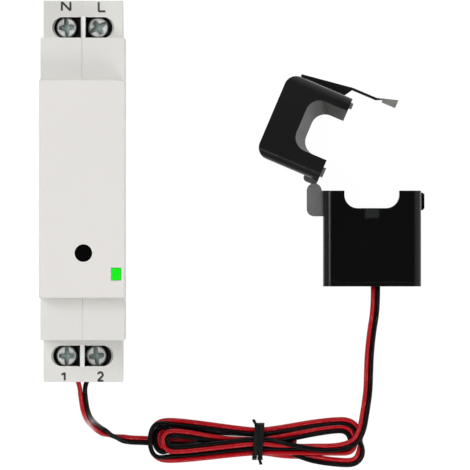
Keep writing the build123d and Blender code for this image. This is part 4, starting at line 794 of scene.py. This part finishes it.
# Tails: the red and the black wire's way from a lower terminal to the lead, in millimetres
TAIL_RESOLUTION = 8
TAIL_PATHS = [
    [(-33.52, -37.28, 32.62), (-33.52, -38.08, 32.62), (-33.1, -38.9, 32.55), (-32.45, -39.8, 32.4),
     (-32.1, -41.1, 32.0), (-31.97, -42.25, 31.4), (-31.96, -42.9, 31.05)],
    [(-29.76, -37.28, 32.62), (-29.76, -38.08, 32.62), (-30.1, -38.9, 32.55), (-30.65, -39.8, 32.4),
     (-31.0, -41.1, 32.0), (-30.99, -42.15, 31.4), (-30.96, -42.8, 31.05)],
]


def make_tails():
    """Ends of the two wires, parted where they go into the lower terminals."""
    work = bmesh.new()
    for material, points in enumerate(TAIL_PATHS):
        plain_tube(work, nurbs_line(points, TAIL_RESOLUTION), WIRE / 2, material, ring=16)
    piece = mesh_piece("wire_tails", work)
    seat(piece, "wire_tails", "base", "wire_black", "wire_red", "wire_black")
    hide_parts("lead_tails")
    return piece


# Corners of a strip's section, in shares of half its width and half its thickness
STRIP_CORNERS = [
    (1, 0.45), (0.8, 1), (-0.8, 1), (-1, 0.45), (-1, -0.45), (-0.8, -1), (0.8, -1), (1, -0.45),
]


def ribbon_mesh(work, line, across, forward, half_width, half_thickness):
    """Flat strip with rounded edges along a line."""
    rings = []
    for point, side, step in zip(line, across, forward):
        up = side.cross(step)
        rings.append([
            work.verts.new(point + side * (half_width * a) + up * (half_thickness * b))
            for a, b in STRIP_CORNERS
        ])
    for low, high in zip(rings, rings[1:]):
        for n in range(len(STRIP_CORNERS)):
            after = (n + 1) % len(STRIP_CORNERS)
            work.faces.new((low[n], high[n], high[after], low[after])).smooth = True
    work.faces.new(rings[0])
    work.faces.new(reversed(rings[-1]))


# Twisted end: its turns, the steps along it, a strand's thickness, and how far a strand is from
# the middle at the start and at the end, in its own thickness
TWIST_TURNS = 2.5
TWIST_STEPS = 30
STRAND = 0.28 * MM
TWIST_SPREAD = (0.55, 0.8)


def twist_mesh(work, start, end):
    """Two strands twisted round each other, from one place to another."""
    along = (end - start).normalized()
    side = along.orthogonal().normalized()
    up = along.cross(side)
    first, last = TWIST_SPREAD
    for phase in (0, pi):
        line = []
        for step in range(TWIST_STEPS + 1):
            share = step / TWIST_STEPS
            angle = phase + 2 * pi * TWIST_TURNS * share
            spread = STRAND * (first + (last - first) * share)
            outward = cos(angle) * side + sin(angle) * up
            line.append(start + (end - start) * share + spread * outward)
        forward = directions(line)
        sides = [(side - step * side.dot(step)).normalized() for step in forward]
        tube_mesh(work, line, sides, forward, [Vector()] * len(line), STRAND / 2, 0, ring=8)


# Twist tie in millimetres: its middle, each wrap's shift along the bundle and lean in degrees, the
# outline of a wrap across the bundle, and the start and end of its two twisted ends
TIE_RESOLUTION = 8
TIE_MIDDLE = (5.35, -52.68)
TIE_WRAPS = [(-0.5, 5.0), (0.05, -6.0), (0.55, 4.0)]
TIE_OUTLINE = [
    (-3.7, 0.14), (-3.9, 1.3), (-3.4, 2.3), (-1.5, 3.45), (0.0, 3.6), (1.5, 3.45), (3.4, 2.3),
    (3.9, 1.3), (3.7, 0.14), (1.5, 0.1), (-1.5, 0.1),
]
TIE_ENDS = [((4.9, -49.2, 2.2), (4.3, -48.1, 2.4)), ((5.5, -56.2, 1.7), (5.9, -57.5, 1.3))]
TIE_HALF_WIDTH = 0.5 * MM
TIE_HALF_THICKNESS = 0.12 * MM


def make_tie():
    """Twist tie: three wraps of flat coated wire and its two twisted ends."""
    work = bmesh.new()
    middle_x, middle_y = TIE_MIDDLE
    for shift, lean in TIE_WRAPS:
        lean_share = sin(radians(lean))
        loop = [(middle_x + shift + y * lean_share, middle_y + y, z) for y, z in TIE_OUTLINE]
        line = nurbs_line(loop + loop[:3], TIE_RESOLUTION)
        forward = directions(line)
        along = Vector((1, 0, 0))
        across = [(along - step * along.dot(step)).normalized() for step in forward]
        ribbon_mesh(work, line, across, forward, TIE_HALF_WIDTH, TIE_HALF_THICKNESS)
    for start, end in TIE_ENDS:
        twist_mesh(work, mm(*start), mm(*end))
    piece = mesh_piece("twist_tie", work)
    seat(piece, "twist_tie", "base", "tie_black")
    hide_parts("hank_tie")
    return piece


add_camera()
add_lights()
add_world()
add_floor()
lead, lead_line, lead_length = make_lead()
tails = make_tails()
tie = make_tie()

# Monitor's cover, with its outer edges rounded
COVER_ROUNDING = 0.25 * MM
softened("front_cover", COVER_ROUNDING)

# Hinge of the transformer in millimetres, and how far its upper half is open at rest
PIVOT = Vector((17.1, 0.21))
OPEN_ANGLE = radians(67)


def in_lid(place):
    """Place along and out of the upper half, from its hinge, in millimetres."""
    off = Vector(place[:2]) / MM - PIVOT
    along = off.x * cos(OPEN_ANGLE) + off.y * sin(OPEN_ANGLE)
    return along, off.y * cos(OPEN_ANGLE) - off.x * sin(OPEN_ANGLE)


# Finishes of the upper half and of its strap, in the order in which their slots have them
BLACK, SHEEN_WALL, HINGE, SHEEN_ARM = range(4)
STRAP, SHEEN_GRIP = range(2)

# Where the upper half's finishes change, in millimetres along and out of it: its hinge leaf, the
# wall of its window, painted grey as sheen, and the arm beside the hinge, whose faces look back
# toward the hinge and take a dimmer painted sheen
LEAF_ALONG, LEAF_OUT = 2.15, 3.3
WINDOW_ALONG, WINDOW_OUT = (6.8, 18.15), 8.25
ARM_OUT, ARM_FACING = 5.2, -0.45
# Out of the upper half, in millimetres, beyond which the strap's level faces are painted grey as
# sheen
GRIP_OUT = -5.2

# Upright parts of normals above which a face counts as level
WINDOW_LEVEL, GRIP_LEVEL = 0.97, 0.9


def lid_face(middle, normal):
    """Finish of a face of the upper half: grey hinge leaf, window wall painted greys as sheen."""
    along, out = in_lid(middle)
    if along < LEAF_ALONG and out < LEAF_OUT:
        return HINGE
    low, high = WINDOW_ALONG
    if not low < along < high or out > WINDOW_OUT or abs(normal.z) > WINDOW_LEVEL:
        return BLACK
    facing = normal.x * cos(OPEN_ANGLE) + normal.y * sin(OPEN_ANGLE)
    return SHEEN_ARM if facing < ARM_FACING and out < ARM_OUT else SHEEN_WALL


def strap_face(middle, normal):
    """Finish of a face of the strap: the level faces of its grip are painted grey as sheen."""
    return SHEEN_GRIP if normal.z > GRIP_LEVEL and in_lid(middle)[1] < GRIP_OUT else STRAP


def dressed(node, finishes, pick):
    """Copy of a CAD node whose faces take one of several finishes, which stands for the node.

    It keeps the node's own normals, unless merging its corners drops a face.
    """
    mesh = frame["nodes"][node].data.copy()
    mesh.materials.clear()
    normals = [tuple(corner.vector) for corner in mesh.corner_normals]
    work = bmesh.new()
    work.from_mesh(mesh)
    bmesh.ops.remove_doubles(work, verts=work.verts, dist=MERGE)
    for face in work.faces:
        face.material_index = pick(face.calc_center_median(), face.normal)
    work.to_mesh(mesh)
    work.free()
    piece = linked(f"{node}_moulded", mesh)
    if len(mesh.loops) == len(normals):
        mesh.normals_split_custom_set(normals)
    else:
        shade(piece)
    seat(piece, f"{node}_moulded", BODY_OF[node], SLOT_OF[node], *finishes)
    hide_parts(node)
    return piece


# Finishes of the upper half: black, painted sheen on the wall, hinge grey, dimmer painted sheen
LID_FINISHES = ("lid_black", "band_grey", "hinge_grey", "arm_grey")
dressed("ct_upper_case", LID_FINISHES, lid_face)
dressed("ct_upper_cover", LID_FINISHES, lid_face)
dressed("ct_latch_strap", ("lid_black", "strap_satin"), strap_face)

# Pad on the inner face of the strap's grip, in millimetres: its middle along and out of the upper
# half, its height, its size, and the rounding of its edges
GRIP_PLACE = (22.98, -7.35)
GRIP_Z = 9.0
GRIP_SIZE = (0.66, 3.1, 7.0)
GRIP_ROUNDING = 0.2


def make_grip():
    """Rounded pad that a finger pulls the strap by."""
    middle = PIVOT + Matrix.Rotation(OPEN_ANGLE, 2) @ Vector(GRIP_PLACE)
    deselect()
    bpy.ops.mesh.primitive_cube_add(size=1, location=mm(*middle, GRIP_Z),
                                    rotation=(0, 0, OPEN_ANGLE))
    piece = bpy.context.object
    piece.scale = mm(*GRIP_SIZE)
    apply_place(piece)
    bevel(piece, GRIP_ROUNDING * MM)
    # The pad is painted grey all over, as painted sheen
    seat(piece, "strap_grip", "latch", "ct_black", "strap_satin")
    shade(piece)


make_grip()

# Generic marks beside the terminals: half the width of a stroke in millimetres, the share of its
# thickness that is left when it is pressed flat, and the curl of the 2. Each mark has its left
# edge, foot and height in millimetres, and its strokes in shares of that height
MARK_PEN = 0.22
MARK_PRESSED = 0.1
CURL = [(0.31 + 0.27 * cos(radians(turn)), 0.71 + 0.29 * sin(radians(turn)))
        for turn in range(170, -41, -15)]
MARKS = {
    "n": (-35.75, 37.75, 1.85, [[(0, 0), (0, 1)], [(0, 1), (0.97, 0)], [(0.97, 0), (0.97, 1)]]),
    "l": (-28.05, 37.6, 1.95, [[(0, 1), (0, 0)], [(0, 0), (0.72, 0)]]),
    "1": (-35.85, -39.5, 1.6, [[(0, 0.74), (0.3, 0.86), (0.44, 1)], [(0.44, 1), (0.44, 0)]]),
    "2": (-28.25, -39.6, 1.8, [CURL + [(0, 0)], [(0, 0), (0.66, 0)]]),
}


def make_mark(name, left, foot, height, strokes):
    """One printed mark of plain strokes, a hair proud of the housing."""
    work = bmesh.new()
    for stroke in strokes:
        line = [mm(left + x * height, foot + y * height, 0) for x, y in stroke]
        plain_tube(work, line, MARK_PEN * MM, 0, ring=10)
    bmesh.ops.scale(work, vec=(1, 1, MARK_PRESSED), verts=work.verts)
    bmesh.ops.translate(work, vec=(0, 0, END_TOP), verts=work.verts)
    seat(mesh_piece(name, work), name, "base", "button_black", "mark_grey")


for letter, entry in MARKS.items():
    make_mark(f"mark_{letter}", *entry)


def closed_bead(name, outline, radius, z, finish):
    """Thin raised bead along a closed outline."""
    line = [Vector((x, y, z)) * MM for x, y in outline]
    line.append(line[0])
    forward = directions(line)
    forward[0] = forward[-1] = (line[1] - line[-2]).normalized()
    sides = level_sides(forward)
    work = bmesh.new()
    tube_mesh(work, line, sides, forward, [Vector()] * len(line), radius * MM, 0, ring=8)
    seat(mesh_piece(name, work), name, "base", "housing_grey", finish)


# Points of a circle, spans of a half circle, and spans of a straight edge
CIRCLE_POINTS = 48
ARC_SPANS = 16
EDGE_SPANS = 6


def round_outline(x, y, radius):
    """Circle as a list of points."""
    turns = [2 * pi * step / CIRCLE_POINTS for step in range(CIRCLE_POINTS)]
    return [(x + radius * cos(turn), y + radius * sin(turn)) for turn in turns]


def well_outline(end, side):
    """Outline of a screw opening: square beside the rib, half round at the far end."""
    half = OPENING_HEIGHT / 2 / MM
    inner = RIB_X[end] + side * RIB_HALF / MM
    straight = inner + side * (OPENING_WIDTH / MM - half)
    y = SCREW_Y[end]
    turns = [pi * (step / ARC_SPANS - 0.5) for step in range(ARC_SPANS + 1)]
    arc = [(straight + side * half * cos(turn), y + half * sin(turn)) for turn in turns]
    steps = [inner + (straight - inner) * step / EDGE_SPANS for step in range(EDGE_SPANS)]
    low = [(x, y - half) for x in steps]
    high = [(x, y + half) for x in reversed(steps)]
    return low + arc + high


# Screw openings: the end of the monitor, the side of the rib, and the mark beside it
OPENINGS = [(1, -1, "n"), (1, 1, "l"), (-1, -1, "1"), (-1, 1, "2")]

# Raised rims in millimetres, painted near white as painted highlights: of a screw opening, and of
# the button with its radius
WELL_RIM = 0.1
BUTTON_RIM = 0.13
BUTTON_RIM_RADIUS = 1.98

for end, side, letter in OPENINGS:
    closed_bead(f"well_highlight_rim_{letter}", well_outline(end, side), WELL_RIM, END_TOP / MM, "rim_highlight_white")
BUTTON_LOW, BUTTON_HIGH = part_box("pairing_button")
BUTTON_MIDDLE = (BUTTON_LOW + BUTTON_HIGH) / 2 / MM
closed_bead("button_highlight_rim", round_outline(BUTTON_MIDDLE.x, BUTTON_MIDDLE.y, BUTTON_RIM_RADIUS),
            BUTTON_RIM, NOSE_TOP / MM, "rim_highlight_white")


def cut_by(piece, cutter):
    """Take a cutter's room out of a piece, and drop the cutter."""
    cut = piece.modifiers.new("cut", "BOOLEAN")
    cut.operation = "DIFFERENCE"
    cut.solver = "EXACT"
    cut.object = cutter
    apply_modifiers(piece)
    bpy.data.objects.remove(cutter)


# Recess in a terminal screw's head: its angle on each screw in degrees, then in millimetres the
# reach and half width of its arms, the corners between them, and its depth
DRIVE_ANGLES = {"n": 95, "l": 30, "1": 90, "2": 98}
ARM_REACH = 1.62
ARM_HALF = 0.34
ARM_CORNER = 0.56
RECESS_DEPTH = 1.0


def star_cutter(middle, angle):
    """Four-armed prism that widens a screw's cross recess."""
    outline = []
    for arm in range(4):
        turn = Matrix.Rotation(radians(angle + 90 * arm), 2)
        for spot in ((ARM_REACH, -ARM_HALF), (ARM_REACH, ARM_HALF), (ARM_CORNER, ARM_CORNER)):
            outline.append(turn @ Vector(spot))
    bpy.ops.mesh.primitive_circle_add(vertices=len(outline), radius=1, fill_type="NGON")
    cutter = bpy.context.object
    for vertex, spot in zip(cutter.data.vertices, outline):
        vertex.co = (*spot, 0)
    bpy.ops.object.mode_set(mode="EDIT")
    bpy.ops.mesh.select_all(action="SELECT")
    bpy.ops.mesh.extrude_region_move(TRANSFORM_OT_translate={"value": (0, 0, 2 * RECESS_DEPTH)})
    bpy.ops.mesh.select_all(action="SELECT")
    bpy.ops.mesh.normals_make_consistent(inside=False)
    bpy.ops.object.mode_set(mode="OBJECT")
    cutter.scale = (MM, MM, MM)
    cutter.location = mm(middle.x, middle.y, HEAD_TOP - RECESS_DEPTH)
    apply_place(cutter)
    return cutter


def make_screw(letter):
    """Terminal screw with a broad cross recess over its slot."""
    node = f"terminal_screw_{letter}"
    low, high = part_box(node)
    mesh = frame["nodes"][node].data.copy()
    work = bmesh.new()
    work.from_mesh(mesh)
    bmesh.ops.remove_doubles(work, verts=work.verts, dist=WELD)
    work.to_mesh(mesh)
    work.free()
    piece = linked(f"{node}_turned", mesh)
    cut_by(piece, star_cutter((low + high) / 2 / MM, DRIVE_ANGLES[letter]))
    seat(piece, f"{node}_turned", BODY_OF[node], SLOT_OF[node])
    shade(piece)
    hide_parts(node)


for letter in DRIVE_ANGLES:
    make_screw(letter)

# Step in the moulding at the outer end of each screw opening, in millimetres, and how much wider
# the circle that hollows it is. The step is painted a darker grey than the housing, as painted
# shade
STEP_TOP = 43.2
STEP_HEIGHT = 2.6
STEP_WIDTH = 0.55
STEP_HOLLOW = 1.02
STEP_CORNERS = 64


def make_step(name, end, side):
    """Crescent between a circle of the opening's own radius and a slightly wider one."""
    radius = OPENING_HEIGHT / 2
    x = RIB_X[end] * MM + side * (RIB_HALF + OPENING_WIDTH - radius)
    y = SCREW_Y[end] * MM
    z = (STEP_TOP - STEP_HEIGHT / 2) * MM
    deselect()
    bpy.ops.mesh.primitive_cylinder_add(vertices=STEP_CORNERS, radius=radius,
                                        depth=STEP_HEIGHT * MM, location=(x, y, z))
    piece = bpy.context.object
    deselect()
    bpy.ops.mesh.primitive_cylinder_add(vertices=STEP_CORNERS, radius=radius * STEP_HOLLOW,
                                        depth=2 * STEP_HEIGHT * MM,
                                        location=(x - side * STEP_WIDTH * MM, y, z))
    cut_by(piece, bpy.context.object)
    seat(piece, name, "base", "housing_grey", "step_shade_grey")


for end, side, letter in OPENINGS:
    make_step(f"well_step_{letter}", end, side)

# Return spring of the rail clip, which shortens as the clip slides in the real part, here copied
# onto a mesh of its own
spring = dressed("clip_spring", ("steel",), lambda middle, normal: 0)
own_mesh(spring)

# Finishes of the CAD nodes that stay
for node, part in frame["nodes"].items():
    if node in SLOT_OF and part.type == "MESH":
        paint(part, SLOT_OF[node])

bpy.context.scene.view_settings.view_transform = "Standard"
